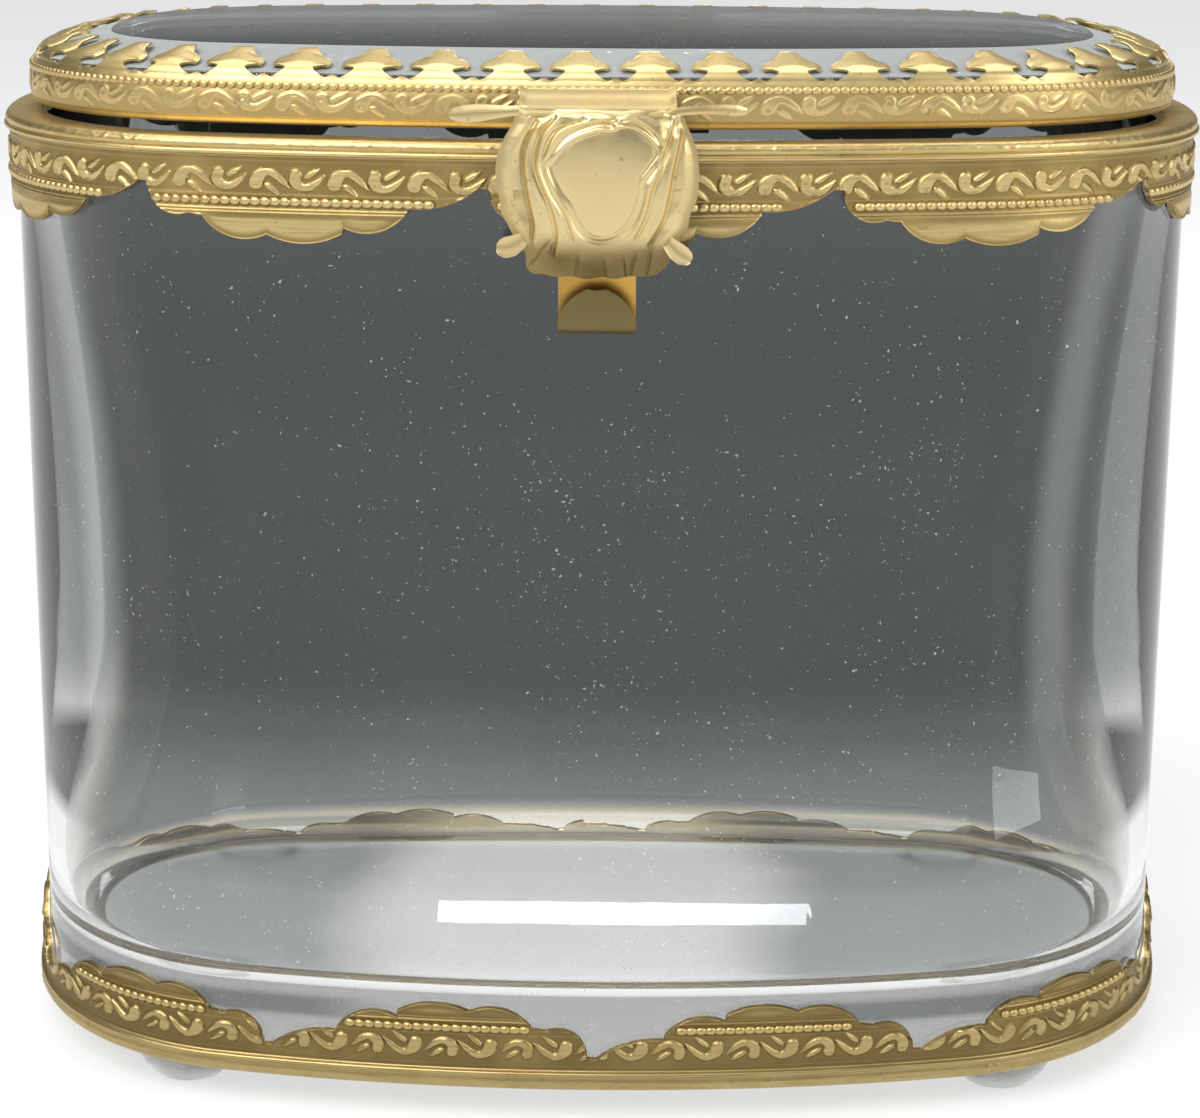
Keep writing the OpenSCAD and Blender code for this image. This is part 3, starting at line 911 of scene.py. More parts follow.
@dataclass(frozen=True)
class Scallops:
    """Lower edge of the strip: lobes cut in a repeat.

    Each lobe holds its start and end along the repeat, the level above which
    the strip is whole, and the centre and the radius of its round edge.
    """

    repeat: float = 35.7
    reach: float = 9.6
    lobes: tuple = (
        (-0.4, 5.0, 3.3, 3.7, 3.5, 3.2),
        (5.0, 6.4, 5.9, 6.6, 0.6, 6.05),
        (6.4, 13.2, 6.0, 10.9, 3.6, 5.4),
        (13.2, 21.2, 7.5, 17.0, 0.8, 8.5),
        (21.2, 27.9, 5.5, 23.6, 2.95, 5.15),
        (27.9, 35.3, 3.2, 28.9, -4.5, 10.0),
    )

    def edge_at(self, s: np.ndarray, phase: float, way: int, half: float) -> np.ndarray:
        """Drop of the edge below the ridge.

        Args:
            s: Places along the wall.
            phase: Place of a notch.
            way: 1 where the repeat runs to the right, -1 to the left.
            half: Half the length of the strip, whose ends meet at the back.

        Returns:
            The drop at each place; lobes whose middle is past an end are left uncut.
        """
        whole = np.full(s.shape, self.reach)
        for turn in (0.0, 2 * half, -2 * half):
            u = way * (s + turn - phase)
            first = self.lobes[0][0]
            lap = np.floor((u - first) / self.repeat) * self.repeat
            for start, end, level, cu, cd, r in self.lobes:
                middle = phase + way * (lap + (start + end) / 2)
                inside = (u - lap >= start) & (u - lap < end) & (np.abs(middle) < half)
                span = r * r - (u - lap - cu) ** 2
                arc = cd + np.sqrt(np.clip(span, 0, None))
                cut = np.where(span > 0, np.maximum(arc, level), level)
                whole = np.where(inside, np.minimum(whole, cut), whole)
        return whole


@dataclass(frozen=True)
class Turn:
    """How the strip's sheet folds over the glass, as offsets and rises past the ridge."""

    middle: tuple
    radii: tuple
    inner: tuple

    def rows(self) -> list:
        """Work out the fold and the face turned to the glass.

        Returns:
            Rows of offset and rise past the ridge.
        """
        (mid_off, mid_up), (wide, tall) = self.middle, self.radii
        roll = [(mid_off + wide * math.cos(a), mid_up + tall * math.sin(a))
                for a in map(math.radians, range(-30, 91, 12))]
        return roll + list(self.inner)


RIM_TURN = Turn(
    middle=(0.35, 0.68), radii=(0.80, 0.72),
    inner=((-1.2, 1.4), (-2.6, 1.4), (-3.1, 1.37), (-3.2, 1.25), (-3.2, 0.9), (-0.5, 0.85)))
FOOT_TURN = Turn(
    middle=(0.24, 0.92), radii=(1.1, 1.08),
    inner=((-1.8, 2.0), (-3.2, 2.0), (-3.9, 1.97), (-4.0, 1.85), (-4.0, 1.5), (-0.6, 1.45)))


@dataclass
class StampedStrip:
    """The stamped strip that runs round the rim, and upside down round the foot.

    Drops are measured from the ridge towards the scallops. The way is 1 where
    they hang down and -1 where they stand up.
    """

    name: str
    node: str
    ridge_z: float
    way: int
    phase: float
    shift: float
    gilt: GiltFinish
    bead_gilt: GiltFinish
    turn: Turn
    scroll_from: tuple = (-18.35, 25.05)
    blank: tuple = (5.2, 7.6)
    plan: OvalPlan = OvalPlan()
    scroll: LeafScroll = LeafScroll()
    scallops: Scallops = Scallops()
    bed: float = 0.15
    sheet: float = 0.6
    columns: int = 1300
    bead_pitch: float = 1.062
    bead_d: float = 0.86
    bead_drop: float = 5.0
    bead_flat: float = 0.78
    lines: tuple = ((0.86, 0.10, 0.06), (4.36, 0.09, 0.08), (5.82, 0.10, 0.12), (6.16, 0.09, 0.09))
    lobe_drop: float = 6.42
    lobe_rows: tuple = (1.0, 0.965, 0.92, 0.86, 0.78, 0.68, 0.57, 0.46, 0.36, 0.28, 0.22, 0.17)
    line_rows: tuple = (6.34, 6.25, 6.16, 6.07, 5.99, 5.90, 5.82, 5.73, 5.62, 5.3, 4.9, 4.52, 4.44)
    top_rows: tuple = (0.94, 0.86, 0.78, 0.66, 0.56, 0.48)

    def __post_init__(self) -> None:
        """Work out the plain face's offset, half the strip's length and the face's rows."""
        self.face = self.bed + self.sheet
        self.half = self.plan.half_length(self.face)
        scroll_rows = np.arange(4.36, 1.0, -0.122)
        self.fixed_rows = np.concatenate([self.line_rows, scroll_rows, self.top_rows])

    def edge(self, s: np.ndarray) -> np.ndarray:
        """Drop of the scalloped edge at places s."""
        return self.scallops.edge_at(s, self.phase, self.way, self.half) - self.shift

    def relief(self, s: np.ndarray, drop: np.ndarray, edge: np.ndarray) -> np.ndarray:
        """Height of the stamped ornament.

        Args:
            s: Places along the wall.
            drop: Drops below the ridge.
            edge: Drop of the cut edge there.

        Returns:
            The height at each place.
        """
        run = self.way * s
        start = np.where(run < self.blank[0], self.scroll_from[0], self.scroll_from[1])
        raised = self.scroll.raise_at(run - start, drop)
        raised = np.where((run > self.blank[0]) & (run < self.blank[1]), 0.0, raised)
        for at, width, tall in self.lines:
            raised = np.maximum(raised, tall * smoothstep(1 - np.abs(drop - at) / (2 * width)))
        room = edge - drop
        puff = 0.16 * smoothstep((drop - 6.3) / 0.9) * smoothstep(room / 1.1)
        rolled = 0.10 * smoothstep(1.4 - room / 0.22) * smoothstep(room / 0.06)
        return raised + puff + rolled

    def drops(self, row: np.ndarray, edge: np.ndarray) -> np.ndarray:
        """Drop of each row of the face, the first row on the cut edge.

        Args:
            row: Number of the row.
            edge: Drop of the cut edge there.

        Returns:
            The drop below the ridge.
        """
        count = len(self.lobe_rows)
        deep = np.maximum(edge - self.lobe_drop, 0.0)
        below = self.lobe_drop + np.array(self.lobe_rows)[np.minimum(row, count - 1)] * deep
        steady = self.fixed_rows[np.clip(row - count, 0, len(self.fixed_rows) - 1)]
        return np.minimum(np.where(row < count, below, steady), edge)

    def rest(self) -> np.ndarray:
        """Rows past the face: ridge, fold and inner face.

        Returns:
            Offsets from the glass and rises over the ridge's middle.
        """
        ridge = [(0.83, -0.40), (0.87, -0.35), (0.91, -0.31)]
        ridge += [(1.03 + 0.33 * math.cos(a), 0.30 * math.sin(a))
                  for a in map(math.radians, range(-60, 61, 15))]
        return np.array(ridge + self.turn.rows() + [(self.bed, 0.6)])

    def marks(self, s: np.ndarray, up: np.ndarray) -> np.ndarray:
        """Height of the flattened leaves on the fold.

        Args:
            s: Places along the wall.
            up: Rises over the ridge's middle.

        Returns:
            The height from 0 to 1.
        """
        u = np.mod(self.way * s + 0.6 * up, 4.09) - 2.0
        leaf = smoothstep(1.4 - np.abs(u - 1.2 * (up - 0.9)) / 0.32)
        leaf = np.maximum(leaf, smoothstep(1.4 - np.abs(u + 1.3 + 0.8 * (up - 0.9)) / 0.26))
        fade = 0.55 + 0.45 * np.sin(0.37 * s + 1.1) * np.sin(0.11 * s)
        return leaf * fade * smoothstep((up - 0.45) / 0.25) * smoothstep((1.9 - up) / 0.5)

    def half_strip(self, start: float, end: float) -> bmesh.types.BMesh:
        """The strip from one place along the wall to another.

        Args:
            start: Place where it starts.
            end: Place where it ends.

        Returns:
            A closed tube: face, ridge, fold, inner face and the cut edge.
        """
        rest = self.rest()
        first = len(self.lobe_rows) + len(self.fixed_rows)
        last = first + len(rest)
        sheet = Sheet(round(self.columns * (end - start) / self.half), last + 1)
        s, row = start + (end - start) * sheet.share, sheet.row
        edge = self.edge(s)
        drop = self.drops(row, edge)
        raised = self.relief(s, drop, edge)
        off = self.face + np.where(drop < edge, raised, 0.0)
        off += 0.05 * smoothstep((0.9 - drop) / 0.4)
        tail = (row >= first) & (row < last)
        rest_off, rest_up = rest[np.clip(row - first, 0, len(rest) - 1)].T
        mark = self.marks(s, rest_up)
        off = np.where(tail, rest_off + 0.07 * mark * (rest_off > 0), off)
        drop = np.where(tail, -rest_up, drop)
        off = np.where(row == last, self.bed, off)
        drop = np.where(row == last, edge - 0.02, drop)
        closing = row == last + 1
        off = np.where(closing, self.face, off)
        drop = np.where(closing, self.drops(0 * row, edge), drop)
        # Painted light on raised stamping, the fold's leaves, the ridge and the inner face;
        # painted shade on the flat ground.
        paint = np.where(tail, 0.62 + 0.5 * mark, np.clip(raised / 0.27, 0, 1))
        paint = np.where((row > first + 3) & (row < first + 12), RIDGE_PAINT, paint)
        paint = np.where((row >= last - 3) & (row <= last), PAINTED_LIGHT_INSIDE, paint)
        points = self.plan.points(s, off, self.ridge_z - self.way * drop, self.face)
        return sheet.bend(points, paint, rows_of(s / 10, drop / 10))

    def build(self, shop: Workshop) -> None:
        """Model the strip in two halves, and its line of beads.

        Args:
            shop: Takes the finished pieces.
        """
        shop.halves(self.half_strip, self.half, self.name, self.gilt, Body.CASE, self.node)
        places = self.plan.spaced(round(2 * self.half / self.bead_pitch), self.face)
        clear = np.minimum(self.edge(places - 0.4), self.edge(places + 0.4))
        places = places[clear > self.bead_drop + 0.30]
        bead_z = self.ridge_z - self.way * self.bead_drop
        mids = self.plan.points(places, self.face + 0.04, bead_z, self.face)
        shop.gilt(bead_row(mids, self.bead_d / 2, self.bead_flat), self.name + "_beads",
                  self.bead_gilt, Body.CASE, crease=180.0)


# ---------------------------------------------------------------------- glass


@dataclass
class GlassBody:
    """The thick moulded glass: smooth outside, hourglass hollow inside."""

    plan: OvalPlan = OvalPlan()
    bottom: float = 4.25
    rim: float = 105.55
    floor: float = 7.8
    middle: float = -24.0
    wall_rim: float = 3.1
    swell: float = 4.2
    foot_swell: float = -0.3
    waist: float = 0.36
    fillet: float = 5.0
    foot_round: float = 1.2
    columns: int = 420

    def wall(self, t: float) -> float:
        """Offset of the inner wall from the outline.

        Args:
            t: Share of the height from the fillet to the rim.

        Returns:
            The offset, less than 0 inwards.
        """
        if t > self.waist:
            turn = math.pi / 2 * (t - self.waist) / (1 - self.waist)
            return -self.wall_rim - self.swell * math.cos(turn) ** 1.5
        fade = math.cos(math.pi / 2 * (self.waist - t) / self.waist) ** 2
        return -self.wall_rim - self.foot_swell - (self.swell - self.foot_swell) * fade

    def profile(self) -> list:
        """Work out the section of the glass.

        Returns:
            Offsets and heights from the underside's middle round the outside
            to the floor's middle.
        """
        rows = [(self.middle, self.bottom), (-8.0, self.bottom), (-2.4, self.bottom)]
        for a in math.pi / 2 * np.arange(7) / 6:
            rows.append((-self.foot_round + self.foot_round * math.sin(a),
                         self.bottom + self.foot_round * (1 - math.cos(a))))
        rows += [(0.0, z) for z in np.linspace(self.bottom + 4, self.rim - 0.5, 22)]
        rows += [(-0.15, self.rim - 0.12), (-0.5, self.rim), (-self.wall_rim + 0.5, self.rim),
                 (-self.wall_rim + 0.12, self.rim - 0.12)]
        low = self.bottom + self.floor
        tall = self.rim - low - self.fillet
        rows += [(self.wall(t), low + self.fillet + t * tall) for t in np.linspace(0.995, 0, 46)]
        foot = self.wall(0)
        for a in math.pi / 2 * np.arange(1, 13) / 12:
            rows.append((foot - self.fillet * (1 - math.cos(a)),
                         low + self.fillet * (1 - math.sin(a))))
        rows += [(foot - self.fillet - 1.5, low), (self.middle, low)]
        return rows

    def build(self, shop: Workshop) -> None:
        """Model the glass as one closed wall."""
        bm = turned_round(self.plan, self.profile(), self.columns)
        shop.finish(bm, "moulded_glass", GLASS, Body.CASE, Slot.GLASS, ("glass_body",),
                    crease=60.0, merge=0.002)


@dataclass
class LidGlass:
    """Plate of the lid with its wide bevel."""

    plan: OvalPlan = OvalPlan()
    middle: float = -24.0
    off: float = -2.37
    bottom: float = 108.1
    edge: float = 112.55
    top: float = 114.8
    bevel: float = 8.4
    columns: int = 420

    def build(self, shop: Workshop) -> None:
        """Model the plate as one closed solid.

        Args:
            shop: Takes the finished pieces.
        """
        inner = self.off - self.bevel
        profile = [
            (self.middle, self.bottom), (self.off - 0.5, self.bottom),
            (self.off, self.bottom + 0.5), (self.off, self.edge - 0.05),
            (self.off - 0.08, self.edge), (inner + 0.1, self.top - 0.03),
            (inner, self.top), (self.middle, self.top)]
        bm = turned_round(self.plan, profile, self.columns)
        shop.finish(bm, "bevelled_lid_glass", LID_GLASS, Body.LID, Slot.GLASS, ("lid_glass",),
                    crease=8.0, merge=0.002)


# ----------------------------------------------------------------------- lid


@dataclass
class LidBezel:
    """Frame of the lid glass: a bulged stamped band with a gallery of prongs."""

    plan: OvalPlan = OvalPlan()
    scroll: LeafScroll = LeafScroll(
        pitch=8.213, height=0.12, edge=0.15, rim=0.07, eyes=0.10, squash=0.86)
    scroll_start: float = 0.75
    scroll_z: float = 109.55
    out: float = -1.62
    bulge_z: float = 109.6
    valley: float = 112.25
    ledge: float = -5.4
    columns: int = 1200
    bead_z: float = 111.3
    bead_pitch: float = 0.98
    bead_r: float = 0.39
    bead_flat: float = 0.60
    foot: tuple = ((-2.55, 107.35), (-2.32, 107.38), (-2.12, 107.48), (-1.97, 107.63),
                   (-1.88, 107.82), (-1.83, 108.02))
    shoulder: tuple = (111.05, 111.3, 111.55, 111.75, 111.95, 112.1)
    prongs: int = 49
    phase: float = -1.9
    prong_l: float = 7.1
    prong_t: float = 0.30
    prong_top: float = 114.72
    prong_at: tuple = (0.0, 0.3, 0.7, 1.1, 1.45, 1.65, 1.85, 2.1, 2.5, 3.0, 3.6, 4.0, 4.3, 4.55,
                       4.8, 5.15, 5.6, 6.1, 6.5, 6.85, 7.0, 7.1)
    prong_half: tuple = (3.45, 2.55, 1.9, 1.55, 1.45, 1.7, 2.25, 2.75, 3.02, 3.08, 3.05, 2.88,
                         2.5, 2.0, 1.6, 1.38, 1.26, 1.12, 0.92, 0.6, 0.42, 0.2)

    def __post_init__(self) -> None:
        """Work out half the band's length and the way from prong to prong."""
        self.half = self.plan.half_length(self.out)
        self.pitch = 2 * self.half / self.prongs

    def wall(self) -> list:
        """Outer rows as pairs of offset and height: turned-in foot, bulge, shoulder."""
        heights = [*np.arange(108.15, 110.95, 0.122), *self.shoulder]
        return list(self.foot) + [(self.swell(z), z) for z in heights]

    def swell(self, z: float) -> float:
        """Offset of the bulged wall at a height."""
        t = (z - self.bulge_z) / 2.6
        return self.out - (0.62 * t * t if t > 0 else 0.30 * t * t)

    def half_band(self, start: float, end: float) -> bmesh.types.BMesh:
        """The band from one place along the wall to another.

        Args:
            start: Place where it starts.
            end: Place where it ends.

        Returns:
            A closed tube: wall, rim between the prongs, inner face and ledge.
        """
        wall = self.wall()
        rim = self.swell(self.valley)
        inner = [
            (rim - 0.5, self.valley), (rim - 0.6, self.valley - 0.15), (-2.28, 111.0),
            (-2.22, 108.0), (-2.5, 107.9), (self.ledge + 0.05, 107.9), (self.ledge, 107.85),
            (self.ledge, 107.42), (self.ledge + 0.07, 107.36)]
        rows = wall + [(rim, self.valley)] + inner
        sheet = Sheet(round(self.columns * (end - start) / self.half), len(rows))
        s, row = start + (end - start) * sheet.share, sheet.row
        off, z = np.array(rows + rows[:1])[row].T
        outer = (row >= 4) & (row < len(wall))
        worn = 0.62 + 0.38 * np.sin(0.13 * s + 0.6) * np.sin(0.31 * s)
        stamped = self.scroll.raise_at(s - self.scroll_start, 3.0 - (z - self.scroll_z))
        raised = np.where(outer, worn * stamped, 0.0)
        top = (row >= len(wall)) & (row <= len(wall) + 2)
        between = np.abs(np.mod(s - self.phase, self.pitch) - self.pitch / 2)
        z = z + np.where(top, 0.26 * smoothstep(1 - between / 0.8), 0.0)
        z = z - np.where(top, 0.10 * smoothstep(1 - np.abs(between - 1.05) / 0.7), 0.0)
        # Painted light on raised stamping, the foot and shoulder rows and, lighter still, the
        # inner face; painted shade on the flat ground.
        paint = np.where(row < 5, RIDGE_PAINT, np.clip(0.30 + raised / 0.14, 0, 1))
        paint = np.where(row >= len(wall) - 2, 0.85, paint)
        inside = (row >= len(wall) + 2) & (row <= len(wall) + 9)
        paint = np.where(inside, PAINTED_LIGHT_INSIDE, paint)
        points = self.plan.points(s, off + raised, z, self.out)
        return sheet.bend(points, paint, rows_of(s / 10, z / 10))

    def prong(self, at: float, tilt: float, lean: float) -> bmesh.types.BMesh:
        """A curled three-lobed leaf folded over the bevel.

        Args:
            at: Its place along the band.
            tilt: Degrees by which its tip lifts.
            lean: Way by which its tip leans to one side.

        Returns:
            Its closed mesh.
        """
        sheet = Sheet(16, 40)
        across, run = sheet.across, sheet.run * self.prong_l
        steps = np.linspace(0, self.prong_l, 90)
        slope = np.radians(78 - 61 * smoothstep(steps / 1.9) + tilt * steps / self.prong_l)
        inward = np.concatenate([[0], np.cumsum(np.cos(slope[:-1]) * np.diff(steps))])
        rise = np.concatenate([[0], np.cumsum(np.sin(slope[:-1]) * np.diff(steps))])
        lobe = smoothstep((run - 1.9) / 0.8) * smoothstep((5.0 - run) / 0.8)
        neck = smoothstep((run - 1.2) / 1.4)
        crown = 0.20 * (1 - across**2) * neck - 0.24 * across**2 * lobe
        rolled = 0.07 * bump_at(np.abs(across) - 0.86, 0.10) * neck
        tip = 0.12 * smoothstep((run - 6.3) / 0.6)
        lift = crown + rolled - tip
        here = np.clip(run - 0.30 * across**2 * lobe, 0, self.prong_l)
        angle = np.interp(here, steps, slope)
        rim = self.swell(self.valley)
        off = rim + 0.02 - np.interp(here, steps, inward) + lift * np.sin(angle)
        z = self.valley - 0.2 + np.interp(here, steps, rise) + lift * np.cos(angle)
        s = at + across * np.interp(run, self.prong_at, self.prong_half)
        s = np.mod(s + lean * smoothstep(run / 5) + self.half, 2 * self.half) - self.half
        off, z = np.minimum(off, rim + 0.1), np.minimum(z, self.prong_top)
        return lined(sheet.bend(self.plan.points(s, off, z, self.out)), self.prong_t)

    def build(self, shop: Workshop) -> None:
        """Model the band, its beads and the prongs.

        Args:
            shop: Takes the finished pieces.
        """
        shop.halves(self.half_band, self.half, "lid_band", GILT_LID, Body.LID, "lid_bezel")
        places = self.plan.spaced(round(2 * self.half / self.bead_pitch), self.out)
        mids = self.plan.points(places, self.swell(self.bead_z), self.bead_z, self.out)
        shop.gilt(bead_row(mids, self.bead_r, self.bead_flat), "lid_band_beads",
                  GILT_LID_BEAD, Body.LID, crease=180.0)
        rng = np.random.default_rng(49)
        gallery = []
        for i in range(self.prongs):
            tilt, lean = rng.uniform(-3.0, 4.0), rng.uniform(-0.12, 0.12)
            at = self.phase + (i - self.prongs // 2) * self.pitch
            gallery.append(self.prong(at, tilt, lean))
        shop.gilt(joined(gallery), "lid_prongs", GILT_PRONG, Body.LID, crease=60.0)


# --------------------------------------------------------------------- clasp


@dataclass
class Clasp:
    """Shield with its leaves and curls, the tongue behind it and the rolled barrel.

    Lines on the shield are x and z from its middle. The sides give its left
    and right edge at each level. Each fold has the side on which it swells
    and its height, and each pleat its x at the top and at the hem and the
    level where it starts. A blade is x, z, half width and y forward of the
    face along its middle, with the height of its fold and of its rolled rim.
    """

    axis: tuple = (-41.78, 111.0)
    middle: float = 103.2
    front: float = -46.6
    front_limit: float = -47.83
    dome: float = 60.0
    bottom: float = -9.6
    top: float = 6.9
    sheet_t: float = 0.42
    blade_t: float = 0.32
    roll_t: float = 0.26
    ear: tuple = (4.45, 7.85)
    sides: tuple = ((-9.6, -6.3, 6.0), (-9.0, -6.9, 6.9), (-7.6, -7.2, 7.3), (-6.2, -7.9, 8.0),
                    (-5.0, -8.8, 8.8), (-3.0, -9.6, 9.5), (-1.0, -10.0, 10.0),
                    (1.0, -10.1, 10.05), (2.6, -9.85, 9.85), (4.2, -9.1, 9.3),
                    (5.4, -8.35, 8.75), (6.2, -8.15, 8.45), (6.9, -8.3, 8.4))
    heart: tuple = ((1.23, 5.0), (-0.18, 5.0), (-2.6, 4.05), (-4.2, 2.3), (-4.75, 1.1),
                    (-3.7, -1.1), (-2.65, -2.5), (-1.8, -4.2), (-0.8, -5.4), (0.6, -5.75),
                    (2.2, -5.1), (3.4, -3.6), (4.1, -1.6), (4.3, -0.1), (5.2, 1.2), (6.0, 2.4),
                    (5.85, 3.45), (4.5, 4.8), (2.9, 5.45))
    folds: tuple = (
        (((-6.0, 5.6), (-7.1, 3.6), (-7.35, 1.6), (-7.0, -1.5), (-6.4, -4.4), (-6.5, -6.2)),
         1, 0.55),
        (((-4.2, 6.1), (-5.7, 4.2), (-6.2, 1.6), (-5.6, -0.6), (-4.7, -2.6), (-4.1, -5.2),
          (-4.4, -7.6)), 1, 0.52),
        (((-1.2, 5.9), (-3.9, 4.9), (-5.1, 3.0), (-5.4, 1.2), (-4.5, -1.2), (-3.3, -3.2),
          (-2.4, -6.0)), 1, 0.36),
        (((8.4, 4.6), (7.7, 1.4), (7.2, -1.5), (6.6, -3.9), (5.2, -6.4)), -1, 0.50),
        (((7.6, 5.6), (6.9, 3.4), (6.2, 1.0), (5.4, -1.2), (4.9, -3.4), (3.8, -5.8)), -1, 0.38),
    )
    swoops: tuple = (((-6.3, 4.9), (-4.6, 6.0), (-2.4, 6.5), (0.0, 6.3), (1.9, 5.5)),
                     ((1.9, 5.5), (3.3, 6.4), (5.4, 6.75), (7.6, 6.3)))
    pleats: tuple = ((-3.9, -7.2, -5.2), (-1.6, -1.9, -7.0), (0.7, 0.9, -7.4), (2.6, 2.9, -7.3),
                     (4.1, 3.4, -6.9), (5.6, 5.0, -6.6))
    blades: tuple = (
        (((-6.9, 6.75, 0.45, 0.0), (-8.6, 6.62, 0.5, 0.1), (-10.2, 6.5, 0.66, 0.1),
          (-11.8, 6.35, 0.86, 0.0), (-13.2, 6.2, 0.84, -0.1), (-14.3, 6.05, 0.60, -0.3),
          (-14.7, 6.0, 0.30, -0.4)), 0.12, 0.05),
        (((7.0, 6.6, 0.42, 0.0), (8.8, 6.75, 0.40, 0.1), (10.6, 6.85, 0.42, 0.1),
          (12.4, 6.8, 0.50, 0.0), (13.8, 6.7, 0.50, -0.1), (14.7, 6.6, 0.28, -0.3)), 0.12, 0.05),
        (((-6.9, -5.6, 0.5, 0.1), (-7.6, -6.2, 0.8, 0.12), (-8.5, -6.75, 1.05, 0.15),
          (-9.2, -6.95, 1.05, 0.2), (-9.75, -6.95, 0.8, 0.2), (-10.0, -6.93, 0.4, 0.2)),
         0.10, 0.22),
        (((6.8, -5.8, 0.5, 0.1), (7.3, -6.5, 0.75, 0.12), (7.95, -7.2, 0.95, 0.15),
          (8.6, -7.7, 0.95, 0.2), (9.15, -8.0, 0.7, 0.2), (9.4, -8.12, 0.36, 0.2)), 0.10, 0.22),
    )

    def surface(self, x: np.ndarray, z: np.ndarray) -> np.ndarray:
        """Y of the plain domed face."""
        return self.front + self.dome - np.sqrt(self.dome**2 - x * x - z * z)

    @staticmethod
    def away(x: np.ndarray, z: np.ndarray, line: np.ndarray) -> np.ndarray:
        """Distance from a line of points.

        Args:
            x: Places to the right of the shield's middle.
            z: Places above it.
            line: Points of the line.

        Returns:
            The distance in millimetres.
        """
        near = np.full(x.shape, 99.0)
        for (ax, az), (bx, bz) in zip(line[:-1], line[1:]):
            dx, dz = bx - ax, bz - az
            t = np.clip(((x - ax) * dx + (z - az) * dz) / (dx * dx + dz * dz + 1e-9), 0, 1)
            near = np.minimum(near, np.hypot(x - ax - t * dx, z - az - t * dz))
        return near

    def heart_depth(self, x: np.ndarray, z: np.ndarray) -> np.ndarray:
        """Distance inside the heart's outline, less than 0 outside.

        Args:
            x: Places to the right of the shield's middle.
            z: Places above it.

        Returns:
            The distance in millimetres.
        """
        line = curve((*self.heart, self.heart[0]), 6)
        inside = np.zeros(x.shape, bool)
        for (ax, az), (bx, bz) in zip(line[:-1], line[1:]):
            crossing = (bx - ax) * (z - az) / (bz - az + 1e-12) + ax
            inside ^= ((az > z) != (bz > z)) & (x < crossing)
        near = self.away(x, z, line)
        return np.where(inside, near, -near)

    def relief(self, x: np.ndarray, z: np.ndarray) -> np.ndarray:
        """Height of the stamped ornament on the shield: heart, folds, pleats and swoops.

        Args:
            x: Places to the right of the shield's middle.
            z: Places above it.

        Returns:
            The height over the plain dome.
        """
        depth = self.heart_depth(x, z)
        swell = np.clip(1 - ((x - 0.4) / 8.6) ** 2 - ((z + 0.2) / 9.4) ** 2, 0, 1)
        tall = 0.93 * smoothstep(swell**0.8)
        tall += 0.17 * bump_at(depth, 0.19) + 0.08 * smoothstep(depth / 0.6)
        tall -= 0.20 * bump_at(depth + 0.42, 0.26)
        for line, side, step in self.folds:
            points = curve(line, 8)
            points = points[np.argsort(points[:, 1])]
            run = side * (x - np.interp(z, points[:, 1], points[:, 0]))
            low, high = points[0, 1], points[-1, 1]
            shown = smoothstep((z - low + 1.2) / 1.6) * smoothstep((high + 0.9 - z) / 1.4)
            shown = shown * smoothstep(1.0 - (depth + 0.35) / 0.4)
            ridge = smoothstep(run / 0.55 + 0.15) * np.exp(-np.clip(run - 0.3, 0, None) / 0.95)
            tall += shown * (step * ridge - 0.14 * bump_at(run + 0.12, 0.17))
        for high, low, start in self.pleats:
            run = x - (high + (low - high) * (start - z) / (start - self.bottom))
            shown = smoothstep((start - z) / 1.2)
            rise, fall = smoothstep(run / 0.3 + 0.4), np.exp(-np.clip(run, 0, None) / 0.6)
            tall += 0.22 * shown * rise * fall
            tall -= 0.10 * shown * bump_at(run + 0.15, 0.16)
        for line in self.swoops:
            tall += 0.24 * bump_at(self.away(x, z, curve(line, 6)), 0.30)
        return tall

    def shield(self) -> bmesh.types.BMesh:
        """Stamped sheet with its drapery folds and its wavy hem.

        Returns:
            Its closed mesh.
        """
        columns, rows = 200, 190
        sheet = Sheet(columns, rows)
        levels, lefts, rights = np.array(self.sides).T
        level = self.bottom + (self.top - self.bottom) * sheet.row / rows
        left, right = np.interp(level, levels, lefts), np.interp(level, levels, rights)
        ripple = 0.10 * np.sin(2.3 * level) * (level < -1)
        share = sheet.share
        x = left + ripple + (right - left) * share
        sag = 0.35 * np.sin(np.pi * share) * smoothstep((-7.6 - level) / 2.0)
        z = level - sag + 0.10 * np.sin(2.1 * x + 0.6) * smoothstep((-8.8 - level) / 0.6)
        side = np.minimum(share, 1 - share) * (right - left)
        bulge = 0.42 * bump_at(side - 1.45, 0.85) * smoothstep((z + 8.5) / 2.5)
        rim = smoothstep(side / 0.7)
        tall = (self.relief(x, z) + bulge) * (0.35 + 0.65 * rim) + 0.10 * (1 - rim)
        neck = smoothstep((level - 6.0) / 0.9)
        y = np.maximum(self.surface(x, z) - tall * (1 - 0.7 * neck), self.front_limit)
        # Painted light on raised parts, painted shade in the hollows, and painted shade darkening
        # the colour towards the bottom.
        raised_light = smoothstep((tall + 0.10) / 0.75)
        paint = (0.30 + 0.70 * raised_light) * (0.12 + 0.88 * smoothstep((z + 8.8) / 5.6))
        points = rows_of(x, y, z + self.middle)
        return backed(
            sheet.bend(points, np.clip(paint, 0, 1), rows_of(z / 10, x / 10)), self.sheet_t)

